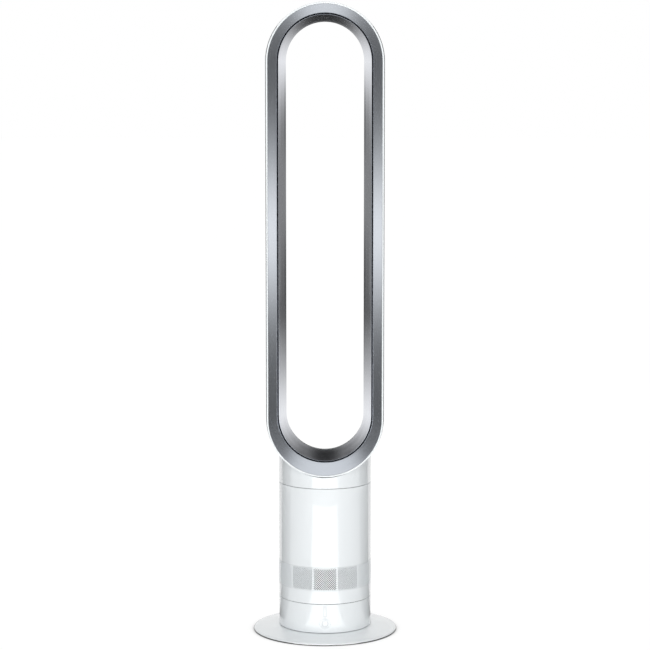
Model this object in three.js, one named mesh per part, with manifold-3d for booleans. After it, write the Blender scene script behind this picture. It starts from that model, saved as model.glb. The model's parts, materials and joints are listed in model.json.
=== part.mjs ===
// A tower bladeless fan: a tall hollow loop on a round body that turns on a flat disc foot.
// Millimetres, +Z up, origin on the floor under the middle of the foot, front towards -Y.
// Air is drawn in through the perforated band low on the body, driven up by a mixed-flow impeller
// and blown forwards out of the narrow slot that runs round the inside of the loop.

import * as THREE from "three";
import { mergeVertices } from "three/addons/utils/BufferGeometryUtils.js";
import Module from "manifold-3d";

const wasm = await Module();
wasm.setup();

// ---------- driving dimensions ----------

const FIT = 0.3; // gap between pieces that are fixed together
const RUN = 0.4; // gap between pieces that turn or slide past each other
const SEAM = 0.8; // visible parting line between two casings
const WIDE_STEPS = 32; // facets round a casing
const BROAD_STEPS = 24; // facets round a broad piece that nobody sees
const FINE_STEPS = 18; // facets round a small turned piece

// Foot
const FOOT_RADIUS = 115;
const FOOT_TOP = 9.5;
const FOOT_SHOULDER = 2; // flat ring of the plate that shows round the body
const FOOT_RIM_TOP = 4.2;
const FOOT_SKIN = 2.2;
const FOOT_LIP = 4.5; // width of the rim that surrounds the base cover
const PAD_HEIGHT = 1.7;
const PAD_PROUD = 1.2;
const PAD_INSET = 13; // from the foot's edge to the pad ring
const PAD_WIDTH = 8;
const COVER_THICKNESS = 1.6;
const BALLAST_INNER_RADIUS = 24;
const FOOT_SCREW_INSET = 8; // from the pad ring to the screws inside it

// Power cable inlet at the back of the foot
const CABLE_RADIUS = 2.4;
const GLAND_WALL = 0.8;
const GLAND_LENGTH = 17;

// Turning joint between foot and tower
const SPINDLE_RADIUS = 15;
const SPINDLE_BORE = 8;
const SPINDLE_TAIL_RADIUS = 11;
const SPINDLE_FLANGE_RADIUS = 21;
const SPINDLE_FLANGE = 2.5;
const SLEEVE_WALL = 3.6;
const SLEEVE_HEIGHT = 13.2;
const RETAINER_THICKNESS = 2.5;
const RETAINER_OVERLAP = 5;
const GLIDE_INNER_RADIUS = 52;
const GLIDE_OUTER_RADIUS = 60;
const GLIDE_HEIGHT = 3.6;
const TURNTABLE_THICKNESS = 3;

// Gear drive that swings the tower
const GEAR_MODULE = 1.5;
const SECTOR_TEETH_IN_CIRCLE = 40;
const SECTOR_TEETH_PER_SIDE = 6; // beside the middle tooth
const PINION_TEETH = 10;
const GEAR_THICKNESS = 3.2;
const ADDENDUM = 1.0;
const DEDENDUM = 1.7;
const TOOTH_SHARE = 0.38; // tooth width at the pitch circle, as a share of the pitch
const PINION_SHAFT_RADIUS = 2.5;
const PINION_SHAFT_LENGTH = 12;
const SLEW_MOTOR_RADIUS = 14;
const SLEW_MOTOR_GAP = 3.5; // from the spindle's retainer to the motor
const SLEW_MOTOR_HEIGHT = 19;

// Body casings
const BODY_RADIUS = 74;
const CASING_WALL = 3.2;
const FOOT_GAP = 0.9;
const CONTROL_TOP = 56.4;
const SKIRT_TOP = 78.7;
const GRILLE_HEIGHT = 36.8;
const BODY_TOP = 242.6;
const JOIN_RIM_WALL = 2.6;
const JOIN_RIM_REACH = 7;
const FLOOR_THICKNESS = 2.5;
const FLOOR_CABLE_RADIUS = 9;

// Casing screws, from below through the turntable
const BOSS_RADIUS = 5.5;
const BOSS_SINK = 0.8; // how far a boss runs into the casing's wall
const BOSS_HEIGHT = 12;
const SCREW_RADIUS = 1.5;
const SCREW_HEAD_RADIUS = 3;
const SCREW_HEAD = 1.4;
const SCREW_LENGTH = 11;

// Controls on the front of the body
const BUTTON_RADIUS = 8.7;
const BUTTON_GAP = 2.2; // from the window down to the button
const BUTTON_TRAVEL = 1.2;
const BUTTON_FLANGE = 1.5;
const BUTTON_FLANGE_THICKNESS = 1.2;
const BUTTON_STEM_RADIUS = 2.4;
const BUTTON_STEM = 2.6;
const WINDOW_WIDTH = 3.8;
const WINDOW_HEIGHT = 17.2;
const WINDOW_DROP = 2.6; // from the casing's top down to the window
const WINDOW_THICKNESS = 2.6;
const SWITCH_SIZE = 6;
const SWITCH_DEPTH = 3.4;
const BOARD_THICKNESS = 1.6;
const SWITCH_BOARD_WIDTH = 32;
const SWITCH_BOARD_HEADROOM = 5;
const RECEIVER_WIDTH = 6;
const RECEIVER_HEIGHT = 7;
const RECEIVER_OFFSET = 10;
const MAIN_BOARD_INSET = 18.8; // from the casing's wall to the board
const MAIN_BOARD_GAP = 3.4; // from the swing motor up to the board
const POST_RADIUS = 3;

// Perforated inlet band
const PANELS = 12;
const PANEL_COLUMNS = 2;
const PANEL_ROWS = 1;
const PANEL_SHARE = 0.9; // share of the band's circle and height that the panels take
const HOLE_SHARE = 0.72; // share of a column or row that its hole takes

// Silencer, impeller, motor and duct
const FOAM_HEIGHT = 12;
const FOAM_INNER_RADIUS = 30;
const LEDGE_WIDTH = 3.5;
const LEDGE_THICKNESS = 2;
const INLET_PLATE_THICKNESS = 2.5;
const INLET_INSET = 26.8; // from the casing's wall to the inlet's mouth
const MOUTH_DROP = 5;
const MOUNT_RADIUS = 4;
const MOUNT_INSET = 2; // from the flange's edge to the mounts
const MOUNT_HEIGHT = 8;
const HOUSING_WALL = 2.4;
const HOUSING_INLET_STEP = 2.5; // how much wider the housing's inlet is than the mouth before it
const FLANGE_GAP = 4.8; // from the casing's wall to the housing's flange
const DUCT_GAP = 10.8; // from the casing's wall to the housing's outlet bore
const HOUSING_THROAT_HEIGHT = 46;
const OUTLET_SEAL_HEIGHT = 10.2;
const TIP_GAP = 1.2;
const BLADES = 9;
const BLADE_THICKNESS = 1.6;
const BLADE_TILT = 34;
const IMPELLER_HEIGHT = 29;
const IMPELLER_NOSE_RADIUS = 13;
const IMPELLER_BACK_RADIUS = 41;
const IMPELLER_RISE = 2.5; // height of the impeller's nose above the housing's inlet
const SHAFT_RADIUS = 4;
const BEARING_RADIUS = 11;
const BEARING_HEIGHT = 6;
const BUCKET_RADIUS = 40;
const BUCKET_WALL = 2;
const BUCKET_HEIGHT = 40;
const BUCKET_FLOOR = 2.5;
const VANES = 9;
const VANE_HEIGHT = 20;
const VANE_THICKNESS = 1.8;
const STATOR_HEIGHT = 21;
const STATOR_BORE = 19;
const ROTOR_GAP = 0.7;
const MOTOR_BOARD_INNER_RADIUS = 15;
const CAP_HEIGHT = 12;
const CAP_WALL = 2;
const COLLAR_FLANGE = 3;
const COLLAR_WALL = 2.8;
const COLLAR_DROP = 18; // from the body's top down to the collar's flange
const SPIGOT_RISE = 4.6;
const LUG_WIDTH = 8;
const LUG_HEIGHT = 2.6;
const LUG_REACH = 3;

// Loop
const LOOP_TOP = 1007;
const LOOP_HALF_WIDTH = 93;
const LOOP_FRONT = -76;
const LOOP_DEPTH = 110;
const LOOP_WALL = 2.5;
const ARC_STEPS = 14; // facets on each half circle of the loop
const RIM_WIDTH = 3;
const RIM_DRAFT = 0.9; // how far the rim lies inside the loop's widest line
const FRONT_RING_WIDTH = 13.2;
const FRONT_RING_DEPTH = 44;
const FRONT_RING_WALL = 2.2;
const SLOT = 1.5;
const INNER_RING_WIDTH = 12.2;
const INNER_RING_DEPTH = 41;
const INNER_RING_WALL = 1.8;
const SPACERS_PER_SIDE = 4;
const SPACER_LENGTH = 8;
const DOCK_MAGNET_RADIUS = 5;
const DOCK_MAGNET_THICKNESS = 3;
const NECK_FRONT_HEIGHT = 17.6; // up to the loop's lowest line
const NECK_SIDE_HEIGHT = 57;
const NECK_REAR_HEIGHT = 7.6;
const NECK_SLOPE = 0.58;
const LOOP_INLET_RADIUS = 36;

// ---------- materials ----------

const finish = (color, roughness, metalness = 0) =>
  new THREE.MeshStandardMaterial({ color, roughness, metalness });

const WHITE_GLOSS = finish(0xf1f3f4, 0.22);
const SILVER = finish(0xa9abb2, 0.32, 0.9);
const GREY_PLASTIC = finish(0x8d9196, 0.5);
const DARK_PLASTIC = finish(0x2c2e31, 0.55);
const WINDOW_PLASTIC = finish(0xe6eaec, 0.15);
const RUBBER = finish(0x3a3b3d, 0.85);
const FOAM = finish(0x55585c, 0.95);
const STEEL = finish(0xb4b7ba, 0.35, 0.9);
const COPPER = finish(0xb5713f, 0.4, 0.8);
const BOARD_GREEN = finish(0x2f6b46, 0.6);
const NYLON = finish(0xe4e0d4, 0.6);

// ---------- geometry helpers ----------

const rad = THREE.MathUtils.degToRad;

// The closed solid of a geometry, once corners that share a place are merged.
function solidOf(geometry) {
  const bare = geometry.index ? geometry.toNonIndexed() : geometry.clone();
  bare.deleteAttribute("normal");
  bare.deleteAttribute("uv");
  const merged = mergeVertices(bare, 1e-3);
  return new wasm.Manifold(
    new wasm.Mesh({
      numProp: 3,
      vertProperties: merged.attributes.position.array,
      triVerts: new Uint32Array(merged.index.array),
    }),
  );
}

// The three.js geometry of a solid.
function geometryOf(solid) {
  const mesh = solid.getMesh();
  const geometry = new THREE.BufferGeometry();
  const positions = new THREE.BufferAttribute(new Float32Array(mesh.vertProperties), 3);
  geometry.setAttribute("position", positions);
  geometry.setIndex(new THREE.BufferAttribute(new Uint32Array(mesh.triVerts), 1));
  geometry.computeVertexNormals();
  return geometry;
}

// Twice the signed area of an outline of [x, y] points.
function windingOf(outline) {
  return outline.reduce((sum, [x, y], i) => {
    const [nextX, nextY] = outline[(i + 1) % outline.length];
    return sum + x * nextY - nextX * y;
  }, 0);
}

// A closed outline of [radius, z] points turned round the Z axis.
function turned(outline, steps = FINE_STEPS) {
  const ordered = windingOf(outline) > 0 ? outline : [...outline].reverse();
  const closed = [...ordered, ordered[0]].map(([radius, z]) => new THREE.Vector2(radius, z));
  return new THREE.LatheGeometry(closed, steps).rotateX(Math.PI / 2);
}

// A plain ring or tube between two radii and two heights.
function tube(innerRadius, outerRadius, bottom, top, steps = FINE_STEPS) {
  const outline = [
    [innerRadius, bottom],
    [outerRadius, bottom],
    [outerRadius, top],
    [innerRadius, top],
  ];
  return turned(outline, steps);
}

// An upright cylinder on [x, y], between two heights.
function rod(radius, bottom, top, x = 0, y = 0, steps = FINE_STEPS) {
  return new THREE.CylinderGeometry(radius, radius, top - bottom, steps)
    .rotateX(Math.PI / 2)
    .translate(x, y, (bottom + top) / 2);
}

// A cylinder along Y at height z, from one depth to the other.
function pin(radius, z, nearY, farY, x = 0, steps = FINE_STEPS) {
  return new THREE.CylinderGeometry(radius, radius, farY - nearY, steps).translate(
    x,
    (nearY + farY) / 2,
    z,
  );
}

// A box between two corners.
function block([x0, y0, z0], [x1, y1, z1]) {
  return new THREE.BoxGeometry(x1 - x0, y1 - y0, z1 - z0).translate(
    (x0 + x1) / 2,
    (y0 + y1) / 2,
    (z0 + z1) / 2,
  );
}

const turnedBy = (geometry, degrees) => geometry.clone().rotateZ(rad(degrees));

const joined = (...geometries) =>
  geometries.map(solidOf).reduce((all, solid) => all.add(solid));

const cutBy = (solid, ...geometries) =>
  geometries.map(solidOf).reduce((rest, cutter) => rest.subtract(cutter), solid);

const evenAngles = (count, first = 0) =>
  Array.from({ length: count }, (_, i) => first + (360 * i) / count);

function mesh(name, shape, material) {
  const geometry = shape.isBufferGeometry ? shape : geometryOf(shape);
  const made = new THREE.Mesh(geometry, material);
  made.name = name;
  return made;
}

// ---------- levels and radii that several pieces share ----------

const coverTop = PAD_PROUD + COVER_THICKNESS;
const plateUnderside = FOOT_TOP - FOOT_SKIN;
const recessRadius = FOOT_RADIUS - FOOT_LIP;
const footFlatRadius = BODY_RADIUS + FOOT_SHOULDER;
const padOuter = FOOT_RADIUS - PAD_INSET;
const padInner = padOuter - PAD_WIDTH;
const footScrewCircle = padInner - FOOT_SCREW_INSET;
const ballastOuter = FOOT_RADIUS - GLAND_LENGTH - 1;
const seatZ = FOOT_TOP + FIT; // what stands on the foot starts here
const turntableBottom = seatZ + GLIDE_HEIGHT + RUN;
const turntableTop = turntableBottom + TURNTABLE_THICKNESS;
const sleeveRadius = SPINDLE_RADIUS + RUN;
const sleeveTop = turntableBottom + SLEEVE_HEIGHT;
const spindleTop = sleeveTop + RUN;
const bossCircle = BODY_RADIUS - CASING_WALL - BOSS_RADIUS + BOSS_SINK;
const retainerRadius = SPINDLE_RADIUS + RETAINER_OVERLAP;
const casingInner = BODY_RADIUS - CASING_WALL;
const insertRadius = casingInner - FIT; // what sits inside the casings
const controlBottom = FOOT_TOP + FOOT_GAP;
const skirtBottom = CONTROL_TOP + SEAM;
const grilleBottom = SKIRT_TOP + FIT;
const grilleTop = grilleBottom + GRILLE_HEIGHT;
const mainBottom = grilleTop + FIT;
const floorZ = CONTROL_TOP - FLOOR_THICKNESS / 2;
const floorTop = floorZ + FLOOR_THICKNESS;
const sectorRadius = (GEAR_MODULE * SECTOR_TEETH_IN_CIRCLE) / 2;
const pinionRadius = (GEAR_MODULE * PINION_TEETH) / 2;
const pinionDistance = sectorRadius + pinionRadius;
const ledgeZ = mainBottom + FIT;
const inletPlateZ = ledgeZ + LEDGE_THICKNESS + FIT;
const inletPlateTop = inletPlateZ + INLET_PLATE_THICKNESS;
const mountZ = inletPlateTop + FIT;
const housingZ = mountZ + MOUNT_HEIGHT + FIT;
const impellerZ = housingZ + IMPELLER_RISE;
const impellerTop = impellerZ + IMPELLER_HEIGHT;
const bucketZ = impellerTop + 3;
const bucketTop = bucketZ + BUCKET_HEIGHT;
const bucketInner = BUCKET_RADIUS - BUCKET_WALL;
const lowerBearingZ = bucketZ + FIT;
const statorZ = lowerBearingZ + BEARING_HEIGHT + FIT;
const statorTop = statorZ + STATOR_HEIGHT;
const motorBoardZ = statorTop + FIT;
const upperBearingZ = motorBoardZ + BOARD_THICKNESS + FIT;
const upperBearingTop = upperBearingZ + BEARING_HEIGHT;
const capZ = bucketTop + FIT;
const collarZ = BODY_TOP - COLLAR_DROP;
const housingTop = collarZ - OUTLET_SEAL_HEIGHT - 2 * FIT;
const inletRadius = casingInner - INLET_INSET;
const housingInletRadius = inletRadius + HOUSING_INLET_STEP;
const housingOutletRadius = casingInner - DUCT_GAP;
const housingFlangeRadius = casingInner - FLANGE_GAP;
const mountCircle = housingFlangeRadius - MOUNT_INSET - MOUNT_RADIUS;
const spigotTop = BODY_TOP + SPIGOT_RISE;
const neckBottom = BODY_TOP + SEAM;
const loopBottom = neckBottom + NECK_FRONT_HEIGHT;
const lowerArcZ = loopBottom + LOOP_HALF_WIDTH;
const upperArcZ = LOOP_TOP - LOOP_HALF_WIDTH;
const loopBack = LOOP_FRONT + LOOP_DEPTH;
const screwAngles = evenAngles(3, 90);

// Places of the controls on the front, and depths of what lies behind the power button.
const windowTop = CONTROL_TOP - WINDOW_DROP;
const windowBottom = windowTop - WINDOW_HEIGHT;
const windowMiddle = (windowTop + windowBottom) / 2;
const buttonZ = windowBottom - BUTTON_GAP - BUTTON_RADIUS;
const mainBoardRadius = casingInner - MAIN_BOARD_INSET;
const mainBoardZ = turntableTop + FIT + SLEW_MOTOR_HEIGHT + MAIN_BOARD_GAP;
const flangeRadius = BUTTON_RADIUS + BUTTON_FLANGE;
const flangeFront = -Math.sqrt(casingInner ** 2 - flangeRadius ** 2) + FIT + 0.1;
const flangeBack = flangeFront + BUTTON_FLANGE_THICKNESS;
const stemBack = flangeBack + BUTTON_STEM;
const switchFront = stemBack + BUTTON_TRAVEL + FIT;
const switchBoardY = switchFront + SWITCH_DEPTH + FIT;

// ---------- foot ----------

// The plate's underside slopes from its flat middle out to this [radius, z].
const skirtUnder = [
  recessRadius - FOOT_LIP,
  Math.max(FOOT_RIM_TOP - FOOT_SKIN / 2 + FIT, coverTop + FIT),
];

function undersideAt(radius) {
  const along = (radius - footFlatRadius) / (skirtUnder[0] - footFlatRadius);
  return THREE.MathUtils.lerp(plateUnderside, skirtUnder[1], along);
}

function footPlate() {
  const plate = turned(
    [
      [SPINDLE_TAIL_RADIUS + FIT, FOOT_TOP],
      [SPINDLE_TAIL_RADIUS + FIT, plateUnderside],
      [footFlatRadius, plateUnderside],
      skirtUnder,
      [recessRadius, coverTop + FIT],
      [recessRadius, PAD_PROUD],
      [FOOT_RADIUS - 1, PAD_PROUD],
      [FOOT_RADIUS, PAD_PROUD + 1],
      [FOOT_RADIUS - 0.6, FOOT_RIM_TOP - 0.8],
      [FOOT_RADIUS - 2.4, FOOT_RIM_TOP],
      [footFlatRadius, FOOT_TOP],
    ],
    WIDE_STEPS,
  );
  const notchWidth = CABLE_RADIUS + GLAND_WALL + FIT;
  const notch = block(
    [-notchWidth, FOOT_RADIUS - GLAND_LENGTH, 0],
    [notchWidth, FOOT_RADIUS + 1, FOOT_TOP + 1],
  );
  const screwTips = screwAngles.map((angle) =>
    turnedBy(rod(SCREW_RADIUS + FIT, 0, PAD_PROUD + 3.2, footScrewCircle, 0, 8), angle),
  );
  return cutBy(solidOf(plate), notch, ...screwTips);
}

function footBallast() {
  const bottom = coverTop + FIT;
  const top = plateUnderside - FIT;
  const plate = turned(
    [
      [BALLAST_INNER_RADIUS, bottom],
      [ballastOuter, bottom],
      [ballastOuter, undersideAt(ballastOuter) - FIT],
      [footFlatRadius, top],
      [BALLAST_INNER_RADIUS, top],
    ],
    BROAD_STEPS,
  );
  const cableSlot = block(
    [-CABLE_RADIUS - 1.3, 0, 0],
    [CABLE_RADIUS + 1.3, ballastOuter + 1, FOOT_TOP],
  );
  const screwHoles = screwAngles.map((angle) =>
    turnedBy(rod(SCREW_RADIUS + 1, 0, FOOT_TOP, footScrewCircle, 0, 8), angle),
  );
  return cutBy(solidOf(plate), cableSlot, ...screwHoles);
}

function footCover() {
  const outer = recessRadius - FIT;
  const grooveTop = PAD_HEIGHT + FIT;
  const plate = turned(
    [
      [0, PAD_PROUD],
      [padInner - FIT, PAD_PROUD],
      [padInner - FIT, grooveTop],
      [padOuter + FIT, grooveTop],
      [padOuter + FIT, PAD_PROUD],
      [outer, PAD_PROUD],
      [outer, coverTop],
      [0, coverTop],
    ],
    WIDE_STEPS,
  );
  const screwHoles = screwAngles.map((angle) =>
    turnedBy(rod(SCREW_RADIUS + FIT, 0, coverTop + 1, footScrewCircle, 0, 8), angle),
  );
  const headSeats = screwAngles.map((angle) =>
    turnedBy(
      rod(SCREW_HEAD_RADIUS + FIT, 0, PAD_PROUD + 0.8, footScrewCircle, 0, 8),
      angle,
    ),
  );
  return cutBy(solidOf(plate), ...screwHoles, ...headSeats);
}

function footScrew(angle) {
  const seat = PAD_PROUD + 0.8 - FIT;
  const screw = joined(
    rod(SCREW_HEAD_RADIUS, 0.6, seat, footScrewCircle, 0, 8),
    rod(SCREW_RADIUS, 0.6, PAD_PROUD + 2.9, footScrewCircle, 0, 8),
  );
  return geometryOf(screw).rotateZ(rad(angle));
}

function cableGland() {
  const half = CABLE_RADIUS + GLAND_WALL;
  const bottom = coverTop + FIT;
  const centreZ = bottom + half;
  const section = new THREE.Shape();
  section.moveTo(-half, bottom);
  section.lineTo(half, bottom);
  section.lineTo(half, centreZ);
  section.absarc(0, centreZ, half, 0, Math.PI, false);
  section.closePath();
  const bore = new THREE.Path();
  bore.absarc(0, centreZ, CABLE_RADIUS, 0, 2 * Math.PI, true);
  section.holes.push(bore);
  const length = GLAND_LENGTH - FIT;
  return new THREE.ExtrudeGeometry(section, {
    depth: length,
    bevelEnabled: false,
    curveSegments: 6,
  })
    .rotateX(Math.PI / 2)
    .translate(0, FOOT_RADIUS, 0);
}

// ---------- turning joint ----------

function spindle() {
  return turned([
    [SPINDLE_BORE, plateUnderside + FIT],
    [SPINDLE_TAIL_RADIUS, plateUnderside + FIT],
    [SPINDLE_TAIL_RADIUS, seatZ],
    [SPINDLE_FLANGE_RADIUS, seatZ],
    [SPINDLE_FLANGE_RADIUS, seatZ + SPINDLE_FLANGE],
    [SPINDLE_RADIUS, seatZ + SPINDLE_FLANGE],
    [SPINDLE_RADIUS, spindleTop],
    [SPINDLE_BORE, spindleTop],
  ]);
}

function spindleRetainer() {
  const bottom = spindleTop + FIT;
  return tube(SPINDLE_BORE, retainerRadius, bottom, bottom + RETAINER_THICKNESS);
}

function turntable() {
  const disc = turned(
    [
      [sleeveRadius, turntableBottom],
      [insertRadius, turntableBottom],
      [insertRadius, turntableTop],
      [sleeveRadius + SLEEVE_WALL, turntableTop],
      [sleeveRadius + SLEEVE_WALL, sleeveTop],
      [sleeveRadius, sleeveTop],
    ],
    WIDE_STEPS,
  );
  const postTop = mainBoardZ - FIT;
  const postCircle = mainBoardRadius - 2 * POST_RADIUS;
  const posts = evenAngles(3, 30).map((angle) =>
    turnedBy(rod(POST_RADIUS, turntableBottom + 1, postTop, postCircle, 0, 8), angle),
  );
  const shaftHole = rod(
    PINION_SHAFT_RADIUS + RUN + FIT,
    turntableBottom - 1,
    turntableTop + 1,
    0,
    pinionDistance,
    16,
  );
  const screwHoles = screwAngles.map((angle) =>
    turnedBy(
      rod(SCREW_RADIUS + FIT, turntableBottom - 1, turntableTop + 1, bossCircle, 0, 8),
      angle,
    ),
  );
  const headSeats = screwAngles.map((angle) =>
    turnedBy(
      rod(
        SCREW_HEAD_RADIUS + FIT,
        turntableBottom - 1,
        turntableBottom + SCREW_HEAD + FIT,
        bossCircle,
        0,
        8,
      ),
      angle,
    ),
  );
  const buttonNotch = block(
    [-flangeRadius - RUN, -BODY_RADIUS, turntableBottom - 1],
    [flangeRadius + RUN, stemBack + BUTTON_TRAVEL + RUN, turntableTop + 1],
  );
  return cutBy(
    joined(disc, ...posts),
    shaftHole,
    buttonNotch,
    ...screwHoles,
    ...headSeats,
  );
}

// ---------- gear drive ----------

// The outline of one straight-sided tooth centred on the +X axis, from root to root.
function toothPoints(pitchRadius, toothCount, toothIndex) {
  const pitch = (2 * Math.PI) / toothCount;
  const half = (TOOTH_SHARE * pitch) / 2;
  const root = pitchRadius - DEDENDUM;
  const tip = pitchRadius + ADDENDUM;
  const lean = 0.36 / pitchRadius; // flank slope, as an angle each side of the pitch circle
  const middle = toothIndex * pitch;
  return [
    [root, middle - half - lean * DEDENDUM],
    [tip, middle - half + lean * ADDENDUM],
    [tip, middle + half - lean * ADDENDUM],
    [root, middle + half + lean * DEDENDUM],
  ];
}

const polar = ([radius, angle]) =>
  new THREE.Vector2(radius * Math.cos(angle), radius * Math.sin(angle));

function extruded(points, boreRadius, bottom, top) {
  const shape = new THREE.Shape(points);
  const bore = new THREE.Path();
  bore.absarc(0, 0, boreRadius, 0, 2 * Math.PI, true);
  shape.holes.push(bore);
  return new THREE.ExtrudeGeometry(shape, {
    depth: top - bottom,
    bevelEnabled: false,
    curveSegments: 12,
  }).translate(0, 0, bottom);
}

// Fixed to the foot round the spindle, with teeth only where the pinion rolls, at the back.
function slewGear() {
  const pitchAngle = (2 * Math.PI) / SECTOR_TEETH_IN_CIRCLE;
  const rootRadius = sectorRadius - DEDENDUM;
  const outline = [];
  for (let i = -SECTOR_TEETH_PER_SIDE; i <= SECTOR_TEETH_PER_SIDE; i += 1) {
    outline.push(...toothPoints(sectorRadius, SECTOR_TEETH_IN_CIRCLE, i).map(polar));
  }
  const plainFrom = (SECTOR_TEETH_PER_SIDE + 1) * pitchAngle;
  const plainTurn = 2 * Math.PI - 2 * plainFrom;
  const plainSteps = 16;
  for (let i = 0; i <= plainSteps; i += 1) {
    outline.push(polar([rootRadius, plainFrom + (plainTurn * i) / plainSteps]));
  }
  const gear = extruded(outline, SPINDLE_FLANGE_RADIUS + FIT, seatZ, seatZ + GEAR_THICKNESS);
  return gear.rotateZ(Math.PI / 2);
}

// The pinion with its shaft. A gap of its own faces the sector's middle tooth.
function drivePinion() {
  const outline = [];
  for (let i = 0; i < PINION_TEETH; i += 1) {
    outline.push(...toothPoints(pinionRadius, PINION_TEETH, i + 0.5).map(polar));
  }
  const bottom = seatZ + FIT;
  const shape = new THREE.Shape(outline);
  const teeth = new THREE.ExtrudeGeometry(shape, {
    depth: GEAR_THICKNESS - FIT,
    bevelEnabled: false,
  })
    .translate(0, 0, bottom)
    .rotateZ(-Math.PI / 2);
  const shaft = rod(PINION_SHAFT_RADIUS, bottom + 1, turntableTop + PINION_SHAFT_LENGTH, 0, 0, 16);
  return geometryOf(joined(teeth, shaft)).translate(0, pinionDistance, 0);
}

// The motor's can stands clear of the spindle's retainer, wherever the gears put its shaft.
function slewMotor() {
  const bottom = turntableTop + FIT;
  const middleY = retainerRadius + SLEW_MOTOR_GAP + SLEW_MOTOR_RADIUS;
  const can = rod(SLEW_MOTOR_RADIUS, bottom, bottom + SLEW_MOTOR_HEIGHT, 0, middleY);
  const ears = block(
    [-SLEW_MOTOR_RADIUS - 5, middleY - 3.5, bottom],
    [SLEW_MOTOR_RADIUS + 5, middleY + 3.5, bottom + 1],
  );
  const shaftBore = rod(
    PINION_SHAFT_RADIUS + RUN,
    bottom - 1,
    turntableTop + PINION_SHAFT_LENGTH + RUN,
    0,
    pinionDistance,
    16,
  );
  return cutBy(joined(can, ears), shaftBore);
}

// ---------- control section ----------

function controlCasing() {
  const wall = tube(casingInner, BODY_RADIUS, controlBottom, CONTROL_TOP, WIDE_STEPS);
  const bossBottom = turntableTop + FIT;
  const bosses = screwAngles.map((angle) =>
    turnedBy(rod(BOSS_RADIUS, bossBottom, bossBottom + BOSS_HEIGHT, bossCircle, 0, 8), angle),
  );
  const trimmed = joined(...bosses).intersect(
    solidOf(tube(bossCircle - BOSS_RADIUS - 1, BODY_RADIUS - 1, 0, CONTROL_TOP, WIDE_STEPS)),
  );
  const screwHoles = screwAngles.map((angle) =>
    turnedBy(
      rod(SCREW_RADIUS + FIT, bossBottom - 1, turntableBottom + SCREW_LENGTH + 2, bossCircle, 0, 8),
      angle,
    ),
  );
  const buttonHole = pin(BUTTON_RADIUS + RUN, buttonZ, -BODY_RADIUS - 1, -casingInner / 2);
  const windowSlot = block(
    [-WINDOW_WIDTH / 2 - FIT, -BODY_RADIUS - 1, windowBottom - FIT],
    [WINDOW_WIDTH / 2 + FIT, -casingInner / 2, windowTop + FIT],
  );
  return cutBy(solidOf(wall).add(trimmed), buttonHole, windowSlot, ...screwHoles);
}

function casingScrew(angle) {
  const bottom = turntableBottom;
  const screw = joined(
    rod(SCREW_HEAD_RADIUS, bottom, bottom + SCREW_HEAD, bossCircle, 0, 8),
    rod(SCREW_RADIUS, bottom, bottom + SCREW_LENGTH, bossCircle, 0, 8),
  );
  return geometryOf(screw).rotateZ(rad(angle));
}

function powerButton() {
  const face = solidOf(pin(BUTTON_RADIUS, buttonZ, -BODY_RADIUS - 1, flangeBack)).intersect(
    solidOf(rod(BODY_RADIUS - 0.2, 0, CONTROL_TOP, 0, 0, WIDE_STEPS)),
  );
  const flange = pin(flangeRadius, buttonZ, flangeFront, flangeBack);
  const stem = pin(BUTTON_STEM_RADIUS, buttonZ, flangeFront, stemBack, 0, 12);
  return face.add(solidOf(flange)).add(solidOf(stem));
}

function displayWindow() {
  const pane = block(
    [-WINDOW_WIDTH / 2, -BODY_RADIUS - 1, windowBottom],
    [WINDOW_WIDTH / 2, -BODY_RADIUS + WINDOW_THICKNESS, windowTop],
  );
  return solidOf(pane).intersect(solidOf(rod(BODY_RADIUS, 0, BODY_TOP, 0, 0, WIDE_STEPS)));
}

function displayLed() {
  return block(
    [-WINDOW_WIDTH / 2, -BODY_RADIUS + WINDOW_THICKNESS + FIT, windowBottom + 1],
    [WINDOW_WIDTH / 2, switchBoardY - FIT, CONTROL_TOP - JOIN_RIM_REACH - FIT],
  );
}

function tactSwitch() {
  const body = block(
    [-SWITCH_SIZE / 2, switchFront + 1, buttonZ - SWITCH_SIZE / 2],
    [SWITCH_SIZE / 2, switchFront + SWITCH_DEPTH, buttonZ + SWITCH_SIZE / 2],
  );
  return joined(body, pin(SWITCH_SIZE / 4, buttonZ, switchFront, switchFront + 2, 0, 12));
}

function switchBoard() {
  const bottom = turntableTop + FIT;
  return block(
    [-SWITCH_BOARD_WIDTH / 2, switchBoardY, bottom],
    [SWITCH_BOARD_WIDTH / 2, switchBoardY + BOARD_THICKNESS, floorZ - SWITCH_BOARD_HEADROOM],
  );
}

function infraredReceiver() {
  return block(
    [RECEIVER_OFFSET - RECEIVER_WIDTH / 2, switchBoardY - SWITCH_DEPTH, windowMiddle - RECEIVER_HEIGHT],
    [RECEIVER_OFFSET + RECEIVER_WIDTH / 2, switchBoardY - FIT, windowMiddle],
  );
}

function mainBoard() {
  const top = mainBoardZ + BOARD_THICKNESS;
  const board = rod(mainBoardRadius, mainBoardZ, top, 0, 0, 32);
  const tallest = floorZ - FIT - top;
  const capacitor = rod(9, top - 1, top + 0.9 * tallest, -28, 18, 16);
  const transformer = block([8, -14, top - 1], [34, 12, top + 0.95 * tallest]);
  const connector = block([-12, 22, top - 1], [10, 31, top + 0.6 * tallest]);
  const drivers = block([-36, -26, top - 1], [-8, -8, top + 3]);
  const wiringHole = rod(SPINDLE_BORE, 0, BODY_TOP, 0, 0, 16);
  return cutBy(joined(board, capacitor, transformer, connector, drivers), wiringHole);
}

// ---------- main body casings ----------

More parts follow.
